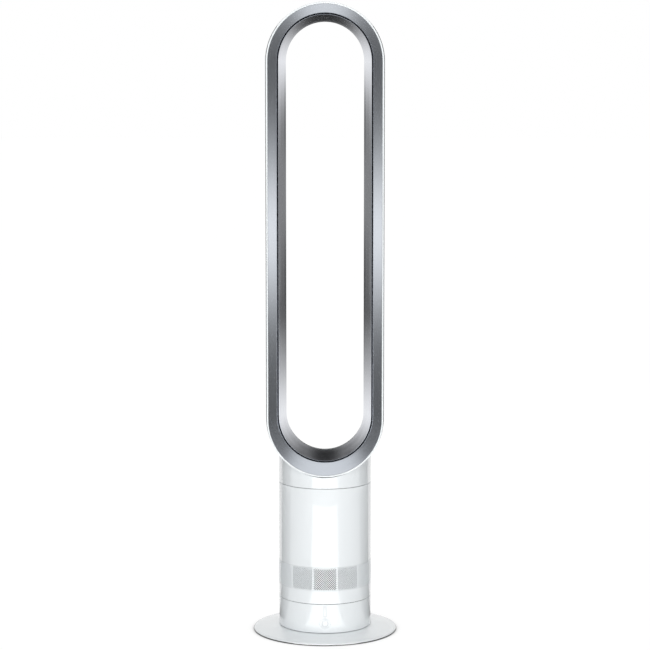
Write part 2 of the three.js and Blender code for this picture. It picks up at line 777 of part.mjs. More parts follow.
function bodyFloor() {
  const rimInner = insertRadius - JOIN_RIM_WALL;
  return turned(
    [
      [FLOOR_CABLE_RADIUS, floorZ],
      [rimInner, floorZ],
      [rimInner, CONTROL_TOP - JOIN_RIM_REACH],
      [insertRadius, CONTROL_TOP - JOIN_RIM_REACH],
      [insertRadius, CONTROL_TOP + JOIN_RIM_REACH],
      [rimInner, CONTROL_TOP + JOIN_RIM_REACH],
      [rimInner, floorTop],
      [FLOOR_CABLE_RADIUS, floorTop],
    ],
    WIDE_STEPS,
  );
}

const casingSkirt = () => tube(casingInner, BODY_RADIUS, skirtBottom, SKIRT_TOP, WIDE_STEPS);

function inletGrille() {
  const wall = solidOf(tube(casingInner, BODY_RADIUS, grilleBottom, grilleTop, WIDE_STEPS));
  const panelAngle = (360 / PANELS) * PANEL_SHARE;
  const columnAngle = panelAngle / PANEL_COLUMNS;
  const holeWidth = 2 * casingInner * Math.tan(rad(columnAngle / 2)) * HOLE_SHARE;
  const rowHeight = (GRILLE_HEIGHT * PANEL_SHARE) / PANEL_ROWS;
  const holeHeight = rowHeight * HOLE_SHARE;
  const firstRow = (grilleBottom + grilleTop - rowHeight * (PANEL_ROWS - 1)) / 2;
  const holes = [];
  for (const panel of evenAngles(PANELS, 90)) {
    for (let column = 0; column < PANEL_COLUMNS; column += 1) {
      const angle = panel + (column - (PANEL_COLUMNS - 1) / 2) * columnAngle;
      for (let row = 0; row < PANEL_ROWS; row += 1) {
        const z = firstRow + row * rowHeight;
        const hole = block(
          [casingInner - 3, -holeWidth / 2, z - holeHeight / 2],
          [BODY_RADIUS + 3, holeWidth / 2, z + holeHeight / 2],
        );
        holes.push(turnedBy(hole, angle));
      }
    }
  }
  return wall.subtract(wasm.Manifold.union(holes.map(solidOf)));
}

function mainCasing() {
  const inner = casingInner - LEDGE_WIDTH;
  const collarLedge = collarZ - FIT;
  return turned(
    [
      [casingInner, mainBottom],
      [BODY_RADIUS, mainBottom],
      [BODY_RADIUS, BODY_TOP],
      [casingInner, BODY_TOP],
      [casingInner, collarLedge],
      [inner + 1.5, collarLedge],
      [casingInner, collarLedge - 2 * LEDGE_THICKNESS],
      [casingInner, ledgeZ + LEDGE_THICKNESS],
      [inner, ledgeZ + LEDGE_THICKNESS],
      [inner, ledgeZ],
      [casingInner, ledgeZ],
    ],
    WIDE_STEPS,
  );
}

// ---------- air path inside the body ----------

function silencerFoam() {
  const bottom = floorTop + FIT;
  const outer = insertRadius - JOIN_RIM_WALL - 1;
  return tube(FOAM_INNER_RADIUS, outer, bottom, bottom + FOAM_HEIGHT, BROAD_STEPS);
}

function inletPlate() {
  return turned(
    [
      [inletRadius, inletPlateTop],
      [inletRadius, inletPlateZ],
      [inletRadius + 2, inletPlateZ - 0.7 * MOUTH_DROP],
      [inletRadius + 6, inletPlateZ - MOUTH_DROP],
      [inletRadius + 6, inletPlateZ - MOUTH_DROP + 1.5],
      [inletRadius + 3, inletPlateZ],
      [insertRadius, inletPlateZ],
      [insertRadius, inletPlateTop],
    ],
    WIDE_STEPS,
  );
}

function ductSeal() {
  const outer = inletRadius + 5;
  return turned([
    [inletRadius + 1, mountZ],
    [outer, mountZ],
    [outer - 1.6, mountZ + MOUNT_HEIGHT / 2],
    [outer, mountZ + MOUNT_HEIGHT],
    [inletRadius + 1, mountZ + MOUNT_HEIGHT],
    [inletRadius + 0.4, mountZ + MOUNT_HEIGHT / 2],
  ]);
}

function housingMount(angle) {
  const waist = 0.7 * MOUNT_RADIUS;
  const rubber = turned(
    [
      [0, mountZ],
      [MOUNT_RADIUS, mountZ],
      [waist, mountZ + MOUNT_HEIGHT / 2],
      [MOUNT_RADIUS, mountZ + MOUNT_HEIGHT],
      [0, mountZ + MOUNT_HEIGHT],
    ],
    12,
  );
  return rubber.translate(mountCircle, 0, 0).rotateZ(rad(angle));
}

// The duct's inner line, from inlet to outlet, as [radius, z].
const ductLine = [
  [housingInletRadius, housingZ],
  [housingInletRadius + 1, housingZ + 0.2 * HOUSING_THROAT_HEIGHT],
  [
    (housingInletRadius + housingOutletRadius) / 2,
    housingZ + 0.6 * HOUSING_THROAT_HEIGHT,
  ],
  [housingOutletRadius, housingZ + HOUSING_THROAT_HEIGHT],
];

function impellerHousing() {
  const outside = ductLine
    .slice(1)
    .map(([radius, z]) => [radius + HOUSING_WALL, z])
    .reverse();
  return turned(
    [
      ...ductLine,
      [housingOutletRadius, housingTop],
      [housingOutletRadius + HOUSING_WALL, housingTop],
      ...outside,
      [housingInletRadius + HOUSING_WALL, housingZ + HOUSING_WALL],
      [housingFlangeRadius, housingZ + HOUSING_WALL],
      [housingFlangeRadius, housingZ],
    ],
    BROAD_STEPS,
  );
}

// Blades are slabs leaned over and trimmed to the space between the hub and the duct.
function impeller() {
  const bore = SHAFT_RADIUS + FIT;
  const hubLine = [
    [IMPELLER_NOSE_RADIUS, impellerZ],
    [IMPELLER_NOSE_RADIUS + 5, impellerZ + 0.35 * IMPELLER_HEIGHT],
    [IMPELLER_NOSE_RADIUS + 14, impellerZ + 0.7 * IMPELLER_HEIGHT],
    [IMPELLER_BACK_RADIUS, impellerTop],
  ];
  const hub = turned([
    [bore, impellerZ],
    ...hubLine,
    [IMPELLER_BACK_RADIUS, impellerTop + 1.5],
    [bore, impellerTop + 1.5],
  ]);
  const tipLine = [
    [ductLine[0][0] - TIP_GAP, impellerZ],
    [ductLine[1][0] - TIP_GAP, ductLine[1][1]],
    [ductLine[2][0] - TIP_GAP, ductLine[2][1]],
    [ductLine[2][0] - TIP_GAP, impellerTop],
  ];
  const bladeSpace = solidOf(
    turned([
      ...hubLine.map(([radius, z]) => [radius - 1, z]),
      ...tipLine.reverse(),
    ]),
  );
  const slab = block(
    [IMPELLER_NOSE_RADIUS - 3, -BLADE_THICKNESS / 2, -IMPELLER_HEIGHT],
    [housingOutletRadius, BLADE_THICKNESS / 2, IMPELLER_HEIGHT],
  )
    .rotateX(rad(BLADE_TILT))
    .translate(0, 0, impellerZ + IMPELLER_HEIGHT / 2);
  const blades = evenAngles(BLADES).map((angle) =>
    solidOf(turnedBy(slab, angle)).intersect(bladeSpace),
  );
  return blades.reduce((all, blade) => all.add(blade), solidOf(hub));
}

const rotorShaft = () => rod(SHAFT_RADIUS, impellerZ + 1, upperBearingTop, 0, 0, 16);

function rotorMagnet() {
  return tube(SHAFT_RADIUS + FIT, STATOR_BORE - ROTOR_GAP, statorZ + 0.5, statorTop - 0.5);
}

const bearing = (bottom) =>
  tube(SHAFT_RADIUS + FIT, BEARING_RADIUS, bottom, bottom + BEARING_HEIGHT);

const motorStator = () => tube(STATOR_BORE, bucketInner - FIT, statorZ, statorTop);

function motorBoard() {
  const top = motorBoardZ + BOARD_THICKNESS;
  return tube(MOTOR_BOARD_INNER_RADIUS, bucketInner - FIT, motorBoardZ, top);
}

function motorBucket() {
  const seat = BEARING_RADIUS + FIT;
  const can = turned([
    [seat, bucketZ],
    [BUCKET_RADIUS, bucketZ],
    [BUCKET_RADIUS, bucketTop],
    [bucketInner, bucketTop],
    [bucketInner, bucketZ + BUCKET_FLOOR],
    [seat + 2, bucketZ + BUCKET_FLOOR],
    [seat + 2, lowerBearingZ + BEARING_HEIGHT],
    [seat, lowerBearingZ + BEARING_HEIGHT],
  ]);
  const vane = block(
    [bucketInner + 1, -VANE_THICKNESS / 2, -VANE_HEIGHT / 2],
    [BODY_RADIUS, VANE_THICKNESS / 2, VANE_HEIGHT / 2],
  )
    .rotateX(rad(-14))
    .translate(0, 0, bucketTop - VANE_HEIGHT / 2 - 8);
  const channel = turned(
    [
      [bucketInner + 0.5, bucketZ],
      ...ductLine.slice(2).map(([radius, z]) => [radius - 2 * FIT, z]),
      [housingOutletRadius - 2 * FIT, housingTop - FIT],
      [bucketInner + 0.5, housingTop - FIT],
    ],
    BROAD_STEPS,
  );
  const trimmed = joined(...evenAngles(VANES, 10).map((angle) => turnedBy(vane, angle)));
  return solidOf(can).add(trimmed.intersect(solidOf(channel)));
}

function motorCap() {
  const seat = BEARING_RADIUS + FIT;
  const roof = capZ + CAP_HEIGHT;
  const shoulder = [0.6 * BUCKET_RADIUS, capZ + 0.85 * CAP_HEIGHT];
  const brow = [BUCKET_RADIUS - 3, capZ + 0.4 * CAP_HEIGHT];
  const dome = turned([
    [0, roof],
    [0, roof - CAP_WALL],
    [shoulder[0], shoulder[1] - CAP_WALL],
    [brow[0] - CAP_WALL, brow[1] - CAP_WALL / 2],
    [bucketInner, capZ],
    [BUCKET_RADIUS, capZ],
    brow,
    shoulder,
  ]);
  const bearingSeat = tube(seat, seat + CAP_WALL, upperBearingZ + 1, roof - CAP_WALL / 2);
  return joined(dome, bearingSeat);
}

function outletSeal() {
  const bottom = housingTop + FIT;
  const top = collarZ - FIT;
  return turned(
    [
      [housingOutletRadius, bottom],
      [housingOutletRadius + HOUSING_WALL, bottom],
      [housingOutletRadius + HOUSING_WALL - 1, (bottom + top) / 2],
      [housingOutletRadius + HOUSING_WALL, top],
      [housingOutletRadius, top],
      [housingOutletRadius - 1, (bottom + top) / 2],
    ],
    BROAD_STEPS,
  );
}

// Flange that carries the loop. Notches in its spigot take the neck's lugs.
function outletCollar() {
  const ring = turned(
    [
      [housingOutletRadius - 1, collarZ],
      [insertRadius, collarZ],
      [insertRadius, spigotTop],
      [insertRadius - COLLAR_WALL, spigotTop],
      [insertRadius - COLLAR_WALL, collarZ + COLLAR_FLANGE],
      [housingOutletRadius - 1, collarZ + COLLAR_FLANGE],
    ],
    WIDE_STEPS,
  );
  const notch = block(
    [insertRadius - COLLAR_WALL - 1, -LUG_WIDTH / 2 - RUN, spigotTop - LUG_HEIGHT - 2 * RUN],
    [insertRadius + 1, LUG_WIDTH / 2 + RUN, spigotTop + 1],
  );
  return cutBy(solidOf(ring), ...screwAngles.map((angle) => turnedBy(notch, angle)));
}

// ---------- loop ----------

// The loop's half circles, as [x, z] of the outward normal with the arc centre it belongs to.
function loopStations() {
  const stations = [];
  for (const [centreZ, start] of [
    [upperArcZ, 0],
    [lowerArcZ, 180],
  ]) {
    for (let i = 0; i <= ARC_STEPS; i += 1) {
      const angle = rad(start + (180 * i) / ARC_STEPS);
      stations.push([Math.cos(angle), Math.sin(angle), centreZ]);
    }
  }
  return stations;
}

// A closed outline of [distance from the arc centre, y] points carried round the whole loop.
function swept(outline) {
  const ordered = windingOf(outline) > 0 ? outline : [...outline].reverse();
  const stations = loopStations();
  const positions = stations.flatMap(([x, z, centreZ]) =>
    ordered.flatMap(([radius, y]) => [radius * x, y, centreZ + radius * z]),
  );
  const count = ordered.length;
  const indices = [];
  stations.forEach((_, station) => {
    const here = station * count;
    const next = ((station + 1) % stations.length) * count;
    ordered.forEach((_, point) => {
      const follower = (point + 1) % count;
      indices.push(here + point, here + follower, next + point);
      indices.push(here + follower, next + follower, next + point);
    });
  });
  const geometry = new THREE.BufferGeometry();
  geometry.setAttribute("position", new THREE.Float32BufferAttribute(positions, 3));
  geometry.setIndex(indices);
  return geometry;
}

// Distances from the arc centre, and depths, that the loop's shells share.
const rimRadius = LOOP_HALF_WIDTH - RIM_DRAFT;
const frontRingOuter = rimRadius - RIM_WIDTH - FIT;
const frontRingInner = frontRingOuter - FRONT_RING_WIDTH;
const slotY = LOOP_FRONT + FRONT_RING_DEPTH;
const innerRingOuter = frontRingInner - SLOT;
const throatRadius = innerRingOuter - INNER_RING_WIDTH;
const throatY = slotY + INNER_RING_DEPTH;

// The white shell's outside line, from the front rim round the back to the throat. Its first
// RIM_POINTS points are the rim, where the shell is solid and has no inside line.
const RIM_POINTS = 3;
const shellLine = [
  [rimRadius - RIM_WIDTH, LOOP_FRONT + 0.4],
  [rimRadius - 0.6 * RIM_WIDTH, LOOP_FRONT],
  [rimRadius - 0.2 * RIM_WIDTH, LOOP_FRONT + 0.3],
  [LOOP_HALF_WIDTH, LOOP_FRONT + 0.18 * LOOP_DEPTH],
  [LOOP_HALF_WIDTH, LOOP_FRONT + 0.5 * LOOP_DEPTH],
  [LOOP_HALF_WIDTH - 1.8, LOOP_FRONT + 0.72 * LOOP_DEPTH],
  [LOOP_HALF_WIDTH - 6, LOOP_FRONT + 0.88 * LOOP_DEPTH],
  [LOOP_HALF_WIDTH - 12, LOOP_FRONT + 0.97 * LOOP_DEPTH],
  [LOOP_HALF_WIDTH - 18.5, loopBack],
  [throatRadius + 6.5, loopBack - 1.8],
  [throatRadius + 1.8, throatY + 0.7 * (loopBack - throatY)],
  [throatRadius, throatY + FIT],
];

// A line moved sideways by a distance, each point along the mean of its two edge normals.
function offsetLine(line, distance) {
  return line.map((point, i) => {
    const before = line[Math.max(i - 1, 0)];
    const after = line[Math.min(i + 1, line.length - 1)];
    const along = new THREE.Vector2(after[0] - before[0], after[1] - before[1]).normalize();
    return [point[0] - along.y * distance, point[1] + along.x * distance];
  });
}

// The stretches that a shell of the loop is parted into: its two half circles and its two
// straight sides, each as the two corners of its space, with a fitting gap where they meet.
function stretchSpaces() {
  const reach = LOOP_HALF_WIDTH + 5;
  const [front, back] = [LOOP_FRONT - 5, loopBack + 5];
  const straightFrom = lowerArcZ + FIT / 2;
  const straightTo = upperArcZ - FIT / 2;
  return {
    top: [[-reach, front, upperArcZ + FIT / 2], [reach, back, LOOP_TOP + 5]],
    bottom: [[-reach, front, loopBottom - 5], [reach, back, lowerArcZ - FIT / 2]],
    left: [[-reach, front, straightFrom], [0, back, straightTo]],
    right: [[0, front, straightFrom], [reach, back, straightTo]],
  };
}

// One mesh for each stretch of a shell that goes round the loop.
function parted(name, shell, material) {
  return Object.entries(stretchSpaces()).map(([stretch, corners]) =>
    mesh(`${name}_${stretch}`, shell.intersect(solidOf(block(...corners))), material),
  );
}

function rearShell() {
  const rimInner = rimRadius - RIM_WIDTH;
  const inside = offsetLine(shellLine, LOOP_WALL).slice(RIM_POINTS, -1).reverse();
  const shell = swept([
    ...shellLine,
    [throatRadius + LOOP_WALL, throatY + FIT],
    ...inside,
    [rimInner, LOOP_FRONT + LOOP_WALL + 0.4],
  ]);
  const middleY = LOOP_FRONT + LOOP_DEPTH / 2;
  const inlet = rod(LOOP_INLET_RADIUS, loopBottom - 5, loopBottom + 18, 0, middleY);
  return cutBy(solidOf(shell), inlet);
}

// Silver ring in front of the slot, flaring towards the viewer, with its back edge curled outwards.
function frontRing() {
  const face = [
    [frontRingOuter, LOOP_FRONT + 0.6],
    [frontRingInner + 0.5 * FRONT_RING_WIDTH, LOOP_FRONT + 0.5 * FRONT_RING_DEPTH],
    [frontRingInner, slotY],
    [frontRingInner + 1.5, slotY + 3.5],
    [frontRingInner + 5, slotY + 7],
  ];
  const back = offsetLine(face, -FRONT_RING_WALL).reverse();
  back[back.length - 1] = [frontRingOuter, LOOP_FRONT + 0.6 + FRONT_RING_WALL];
  return swept([...face, ...back]);
}

// Silver ring behind the slot, narrowing to the throat. Small blocks on it hold the slot open.
function innerRing() {
  const face = [
    [innerRingOuter, slotY - 1],
    [throatRadius + 0.45 * INNER_RING_WIDTH, slotY + 0.5 * INNER_RING_DEPTH],
    [throatRadius, throatY],
  ];
  const slope = INNER_RING_WIDTH / INNER_RING_DEPTH;
  const ring = swept([
    ...face,
    [throatRadius + INNER_RING_WALL, throatY],
    [throatRadius + 0.45 * INNER_RING_WIDTH + INNER_RING_WALL, slotY + 0.5 * INNER_RING_DEPTH],
    [innerRingOuter + 0.8 - 3 * slope, slotY + 2],
  ]);
  const spacerZ = (i) =>
    lowerArcZ + ((upperArcZ - lowerArcZ) * (i + 0.5)) / SPACERS_PER_SIDE;
  const spacers = [1, -1].flatMap((side) =>
    Array.from({ length: SPACERS_PER_SIDE }, (_, i) => {
      const near = side * (innerRingOuter - 6 * slope);
      const far = side * (frontRingInner + 1.5 + FRONT_RING_WALL * 0.4);
      return block(
        [Math.min(near, far), slotY + 8, spacerZ(i) - SPACER_LENGTH / 2],
        [Math.max(near, far), slotY + 13, spacerZ(i) + SPACER_LENGTH / 2],
      );
    }),
  );
  return joined(ring, ...spacers);
}

// Holds a handset on top of the loop.
function dockMagnet() {
  const top = LOOP_TOP - LOOP_WALL - FIT - 0.4;
  const middleY = LOOP_FRONT + 0.34 * LOOP_DEPTH;
  return rod(DOCK_MAGNET_RADIUS, top - DOCK_MAGNET_THICKNESS, top, 0, middleY, 16);
}

// Round neck that carries the loop. The loop's own shell closes it above, a sloping roof behind.
function nozzleNeck() {
  const top = neckBottom + NECK_SIDE_HEIGHT;
  const rearTop = neckBottom + NECK_REAR_HEIGHT;
  const roofCut = (drop) => {
    const reach = 2 * BODY_RADIUS;
    const section = new THREE.Shape([
      new THREE.Vector2(BODY_RADIUS + 5, rearTop - drop - 5 * NECK_SLOPE),
      new THREE.Vector2(BODY_RADIUS + 5, LOOP_TOP),
      new THREE.Vector2(-reach, LOOP_TOP),
      new THREE.Vector2(-reach, rearTop - drop + (BODY_RADIUS + reach) * NECK_SLOPE),
    ]);
    return new THREE.ExtrudeGeometry(section, { depth: 2 * reach, bevelEnabled: false })
      .rotateX(Math.PI / 2)
      .rotateZ(Math.PI / 2)
      .translate(-reach, 0, 0);
  };
  const outside = cutBy(solidOf(rod(BODY_RADIUS, neckBottom, top, 0, 0, WIDE_STEPS)), roofCut(0));
  const hollow = cutBy(
    solidOf(rod(casingInner, neckBottom - 1, top + 1, 0, 0, WIDE_STEPS)),
    roofCut(CASING_WALL * Math.hypot(1, NECK_SLOPE)),
  );
  const wellInside = LOOP_HALF_WIDTH / 4;
  const grown = offsetLine(shellLine, -FIT);
  const loopSpace = swept([
    [wellInside, LOOP_FRONT - 5],
    [rimRadius - 0.2 * RIM_WIDTH + FIT, LOOP_FRONT - 5],
    ...grown.slice(3, 9),
    [wellInside, loopBack + FIT],
  ]);
  const lug = block(
    [casingInner - LUG_REACH, -LUG_WIDTH / 2, spigotTop - LUG_HEIGHT - RUN],
    [casingInner + 1, LUG_WIDTH / 2, spigotTop - RUN],
  );
  const lugs = screwAngles.map((angle) => turnedBy(lug, angle));
  const walls = outside.subtract(hollow).add(joined(...lugs));
  return cutBy(walls, loopSpace);
}

// ---------- assembly ----------

function assembleFoot() {
  const foot = new THREE.Group();
  foot.add(
    mesh("foot_plate", footPlate(), WHITE_GLOSS),
    mesh("foot_ballast", footBallast(), STEEL),
    mesh("foot_base_cover", footCover(), GREY_PLASTIC),
    mesh(
      "foot_pad_ring",
      tube(padInner, padOuter, 0, PAD_HEIGHT, WIDE_STEPS),
      RUBBER,
    ),
    mesh("cable_gland", cableGland(), GREY_PLASTIC),
    mesh("spindle", spindle(), NYLON),
    mesh("spindle_retainer", spindleRetainer(), STEEL),
    mesh("slew_gear", slewGear(), NYLON),
    mesh(
      "slew_glide_ring",
      tube(GLIDE_INNER_RADIUS, GLIDE_OUTER_RADIUS, seatZ, seatZ + GLIDE_HEIGHT, BROAD_STEPS),
      NYLON,
    ),
  );
  screwAngles.forEach((angle, i) => foot.add(mesh(`foot_screw_${i + 1}`, footScrew(angle), STEEL)));
  return foot;
}

function assembleControls() {
  const controls = new THREE.Group();
  controls.add(
    mesh("control_casing", controlCasing(), WHITE_GLOSS),
    mesh("turntable", turntable(), GREY_PLASTIC),
    mesh("slew_motor", slewMotor(), STEEL),
    mesh("drive_pinion", drivePinion(), NYLON),
    mesh("power_button", powerButton(), WHITE_GLOSS),
    mesh("display_window", displayWindow(), WINDOW_PLASTIC),
    mesh("display_led", displayLed(), DARK_PLASTIC),
    mesh("tact_switch", tactSwitch(), DARK_PLASTIC),
    mesh("switch_board", switchBoard(), BOARD_GREEN),
    mesh("infrared_receiver", infraredReceiver(), DARK_PLASTIC),
    mesh("main_board", mainBoard(), BOARD_GREEN),
  );
  screwAngles.forEach((angle, i) =>
    controls.add(mesh(`casing_screw_${i + 1}`, casingScrew(angle), STEEL)),
  );
  return controls;
}

function assembleBody() {
  const body = new THREE.Group();
  body.add(
    mesh("body_floor", bodyFloor(), GREY_PLASTIC),
    mesh("casing_skirt", casingSkirt(), WHITE_GLOSS),
    mesh("inlet_grille", inletGrille(), WHITE_GLOSS),
    mesh("main_casing", mainCasing(), WHITE_GLOSS),
    mesh("silencer_foam", silencerFoam(), FOAM),
    mesh("inlet_plate", inletPlate(), GREY_PLASTIC),
    mesh("duct_seal", ductSeal(), RUBBER),
    mesh("impeller_housing", impellerHousing(), GREY_PLASTIC),
    mesh("impeller", impeller(), DARK_PLASTIC),
    mesh("rotor_shaft", rotorShaft(), STEEL),
    mesh("rotor_magnet", rotorMagnet(), STEEL),
    mesh("lower_bearing", bearing(lowerBearingZ), STEEL),
    mesh("upper_bearing", bearing(upperBearingZ), STEEL),
    mesh("motor_stator", motorStator(), COPPER),
    mesh("motor_board", motorBoard(), BOARD_GREEN),
    mesh("motor_bucket", motorBucket(), DARK_PLASTIC),
    mesh("motor_cap", motorCap(), DARK_PLASTIC),
    mesh("outlet_seal", outletSeal(), RUBBER),
    mesh("outlet_collar", outletCollar(), GREY_PLASTIC),
  );
  evenAngles(3, 30).forEach((angle, i) =>
    body.add(mesh(`housing_mount_${i + 1}`, housingMount(angle), RUBBER)),
  );
  return body;
}

function assembleLoop() {
  const loop = new THREE.Group();
  loop.add(
    mesh("nozzle_neck", nozzleNeck(), WHITE_GLOSS),
    ...parted("nozzle_rear_shell", rearShell(), WHITE_GLOSS),
    mesh("nozzle_front_ring", frontRing(), SILVER),
    ...parted("nozzle_inner_ring", innerRing(), SILVER),
    mesh("dock_magnet", dockMagnet(), STEEL),
  );
  return loop;
}

const fan = new THREE.Group();
fan.add(assembleFoot(), assembleControls(), assembleBody(), assembleLoop());

export default fan;
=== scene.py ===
"""The looks of a bladeless tower fan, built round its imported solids.

The scene is in metres, with +Z up and the fan's front to -Y. Sizes in this file are in millimetres,
except where a comment gives another unit.
"""

import json
import math

import bmesh
import bpy
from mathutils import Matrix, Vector


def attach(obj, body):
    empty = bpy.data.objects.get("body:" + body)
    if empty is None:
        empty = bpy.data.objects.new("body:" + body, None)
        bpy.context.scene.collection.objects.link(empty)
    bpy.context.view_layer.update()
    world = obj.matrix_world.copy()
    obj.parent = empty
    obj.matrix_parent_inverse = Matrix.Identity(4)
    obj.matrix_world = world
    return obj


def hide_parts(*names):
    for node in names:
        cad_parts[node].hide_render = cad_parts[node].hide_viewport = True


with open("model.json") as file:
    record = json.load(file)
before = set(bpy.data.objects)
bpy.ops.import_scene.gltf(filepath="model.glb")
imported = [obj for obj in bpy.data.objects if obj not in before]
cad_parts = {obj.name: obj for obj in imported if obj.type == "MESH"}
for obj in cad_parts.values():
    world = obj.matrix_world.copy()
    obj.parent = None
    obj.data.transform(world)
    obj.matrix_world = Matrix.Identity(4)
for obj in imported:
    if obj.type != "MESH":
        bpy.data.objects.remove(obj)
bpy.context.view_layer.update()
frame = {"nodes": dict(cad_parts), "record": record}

MM = 0.001

# ---------- sizes of the fan, in millimetres ----------

BODY_RADIUS = 74
CASING_WALL = 3.2
CASING_STEPS = 160
SEAM_ROUND = 0.3  # rounding of a casing's edge at a seam

FOOT_RADIUS = 115
FOOT_TOP = 9.5
FOOT_FLAT = 76
FOOT_RIM_TOP = 4.2
FOOT_SKIN = 2.2
FOOT_UNDERSIDE = 1.2
FOOT_RECESS = 110.5
SPINDLE_HOLE = 11.3
PAD_INNER = 94
PAD_OUTER = 102
PAD_HEIGHT = 1.7
GLAND_NOTCH_HALF = 3.5
GLAND_NOTCH_FROM = 98

CONTROL_BOTTOM = 10.4
CONTROL_TOP = 56.4
SKIRT_BOTTOM = 57.2
SKIRT_TOP = 78.7
GRILLE_BOTTOM = 79.0
GRILLE_TOP = 115.8
CASING_BOTTOM = 116.1
CASING_TOP = 242.6

CUT_FRONT = -80  # depths between which the casing's front is cut through
CUT_BACK = -40
BUTTON_RADIUS = 8.7
BUTTON_HOLE = 8.75
BUTTON_Z = 25.7
BUTTON_FACE = 73.8  # radius that the button's face follows
BUTTON_DEPTH = 4.6
BUTTON_EDGE = 0.15
SYMBOL_RADIUS = 4.7
SYMBOL_LINE = 0.8
SYMBOL_DEPTH = 0.5
SYMBOL_PROUD = 0.06
SYMBOL_START = 125  # direction in which the broken ring starts, in degrees
SYMBOL_SWEEP = 290  # in degrees
BAR_BOTTOM = 2.4  # ends of the upright bar, above the button's middle
BAR_TOP = 6.4
WINDOW_HALF = 1.9
WINDOW_GAP = 0.15
WINDOW_SET_BACK = 0.15
WINDOW_EDGE = 0.2
WINDOW_BOTTOM = 36.6
WINDOW_TOP = 53.8
WINDOW_DEPTH = 2.6

PANELS = 12
PANEL_CELLS = 11  # cells from a panel's middle to its edge, both ways
PANEL_MARGIN = 0.2
HOLE_RADIUS = 0.95
HOLE_COLUMN = (BODY_RADIUS * math.pi / PANELS - PANEL_MARGIN) / PANEL_CELLS
HOLE_ROW = ((GRILLE_TOP - GRILLE_BOTTOM) / 2 - PANEL_MARGIN) / PANEL_CELLS
WHOLE_CELL = 0.98  # share of a cell's area above which it counts as untrimmed
CORNER_REACH = 0.92  # most of the bar beyond a hole's corner that its bevel takes up
HOLE_SPREAD = 0.15  # share by which a hole's area may differ from the expected one
GRILLE_WALL = 2.2
PAINTED_SHADE_DEPTH = 2.1  # depth in the wall at which the painted shade starts

LOOP_HALF_WIDTH = 93
LOOP_FRONT = -76
LOOP_BACK = 34
LOWER_ARC = 354
UPPER_ARC = 914
ARC_STEPS = 64
RIM_RADIUS = 92.1
RIM_WIDTH = 3
LOOP_WALL = 2.5
FRONT_RING_WALL = 2.2
INNER_RING_WALL = 1.8
RING_FRONT = (88.8, -75.4)  # ends of the front ring's face
RING_LIP = (73.9, -30.2)
THROAT_RADIUS = 61.9
THROAT_Y = 9

NECK_BOTTOM = 243.4
NECK_TOP = 300.4
NECK_REAR = 251
NECK_SLOPE = 0.58
NECK_SHADOW_GAP = 1.0
NECK_ROOF_ROUND = 1.6

PIN_STEPS = 64
ROUND_STEPS = 3
CORNER_SHARE = 0.45  # most of a side that the rounding of one corner takes up
MERGE = 0.004  # points nearer than this are joined
SAME_PLACE = 1e-6  # points nearer than this are taken as one, in metres


# ---------- modelling ----------


def deselect_all():
    for chosen in list(bpy.context.selected_objects):
        chosen.select_set(False)


def choose(piece, *others):
    """Selects only these pieces and makes the first one active."""
    deselect_all()
    for one in (piece, *others):
        one.select_set(True)
    bpy.context.view_layer.objects.active = piece


def start_edit(piece, mode="VERT"):
    choose(piece)
    bpy.ops.object.mode_set(mode="EDIT")
    bpy.ops.mesh.select_mode(type=mode)


def end_edit():
    bpy.ops.object.mode_set(mode="OBJECT")


def select(piece, kind, wanted):
    """In edit mode, selects only the verts, edges or faces that a test picks out."""
    net = bmesh.from_edit_mesh(piece.data)
    for item in [*net.verts, *net.edges, *net.faces]:
        item.select = False
    for item in getattr(net, kind):
        if wanted(item):
            item.select_set(True)
    net.select_flush_mode()
    bmesh.update_edit_mesh(piece.data)


def close_seams(piece):
    """Merges what meets and turns all faces outwards."""
    start_edit(piece)
    bpy.ops.mesh.select_all(action="SELECT")
    bpy.ops.mesh.remove_doubles(threshold=MERGE * MM)
    bpy.ops.mesh.normals_make_consistent(inside=False)
    if bmesh.from_edit_mesh(piece.data).calc_volume(signed=True) < 0:
        bpy.ops.mesh.flip_normals()
    end_edit()


def smooth(piece, degrees=32):
    choose(piece)
    bpy.ops.object.shade_smooth_by_angle(angle=math.radians(degrees))


def settle(piece):
    """Puts the piece's place into its mesh, with its object at the origin."""
    choose(piece)
    bpy.ops.object.transform_apply(location=True, rotation=True, scale=True)


def draw_outline(name, points, closed=True):
    """A line through the points, in millimetres, drawn corner by corner from one vertex."""
    deselect_all()
    bpy.ops.mesh.primitive_plane_add(size=MM, location=(0, 0, 0))
    piece = bpy.context.active_object
    piece.name = name
    start_edit(piece)
    bpy.ops.mesh.select_all(action="SELECT")
    bpy.ops.mesh.merge(type="CENTER")
    here = Vector(points[0]) * MM
    bpy.ops.transform.translate(value=here)
    for point in points[1:]:
        step = Vector(point) * MM - here
        bpy.ops.mesh.extrude_vertices_move(TRANSFORM_OT_translate={"value": step})
        here = here + step
    if closed:
        ends = (Vector(points[0]) * MM, Vector(points[-1]) * MM)
        select(piece, "verts", lambda v: min((v.co - end).length for end in ends) < SAME_PLACE)
        bpy.ops.mesh.edge_face_add()
    end_edit()
    return piece


def turned(name, outline):
    """An outline of (radius, height) points turned once round the body's axis."""
    on_axis = outline[0][0] == 0 and outline[-1][0] == 0
    piece = draw_outline(name, [(radius, 0, z) for radius, z in outline], not on_axis)
    start_edit(piece)
    bpy.ops.mesh.select_all(action="SELECT")
    bpy.ops.mesh.spin(steps=CASING_STEPS, angle=math.tau, center=(0, 0, 0), axis=(0, 0, 1))
    end_edit()
    close_seams(piece)
    return piece


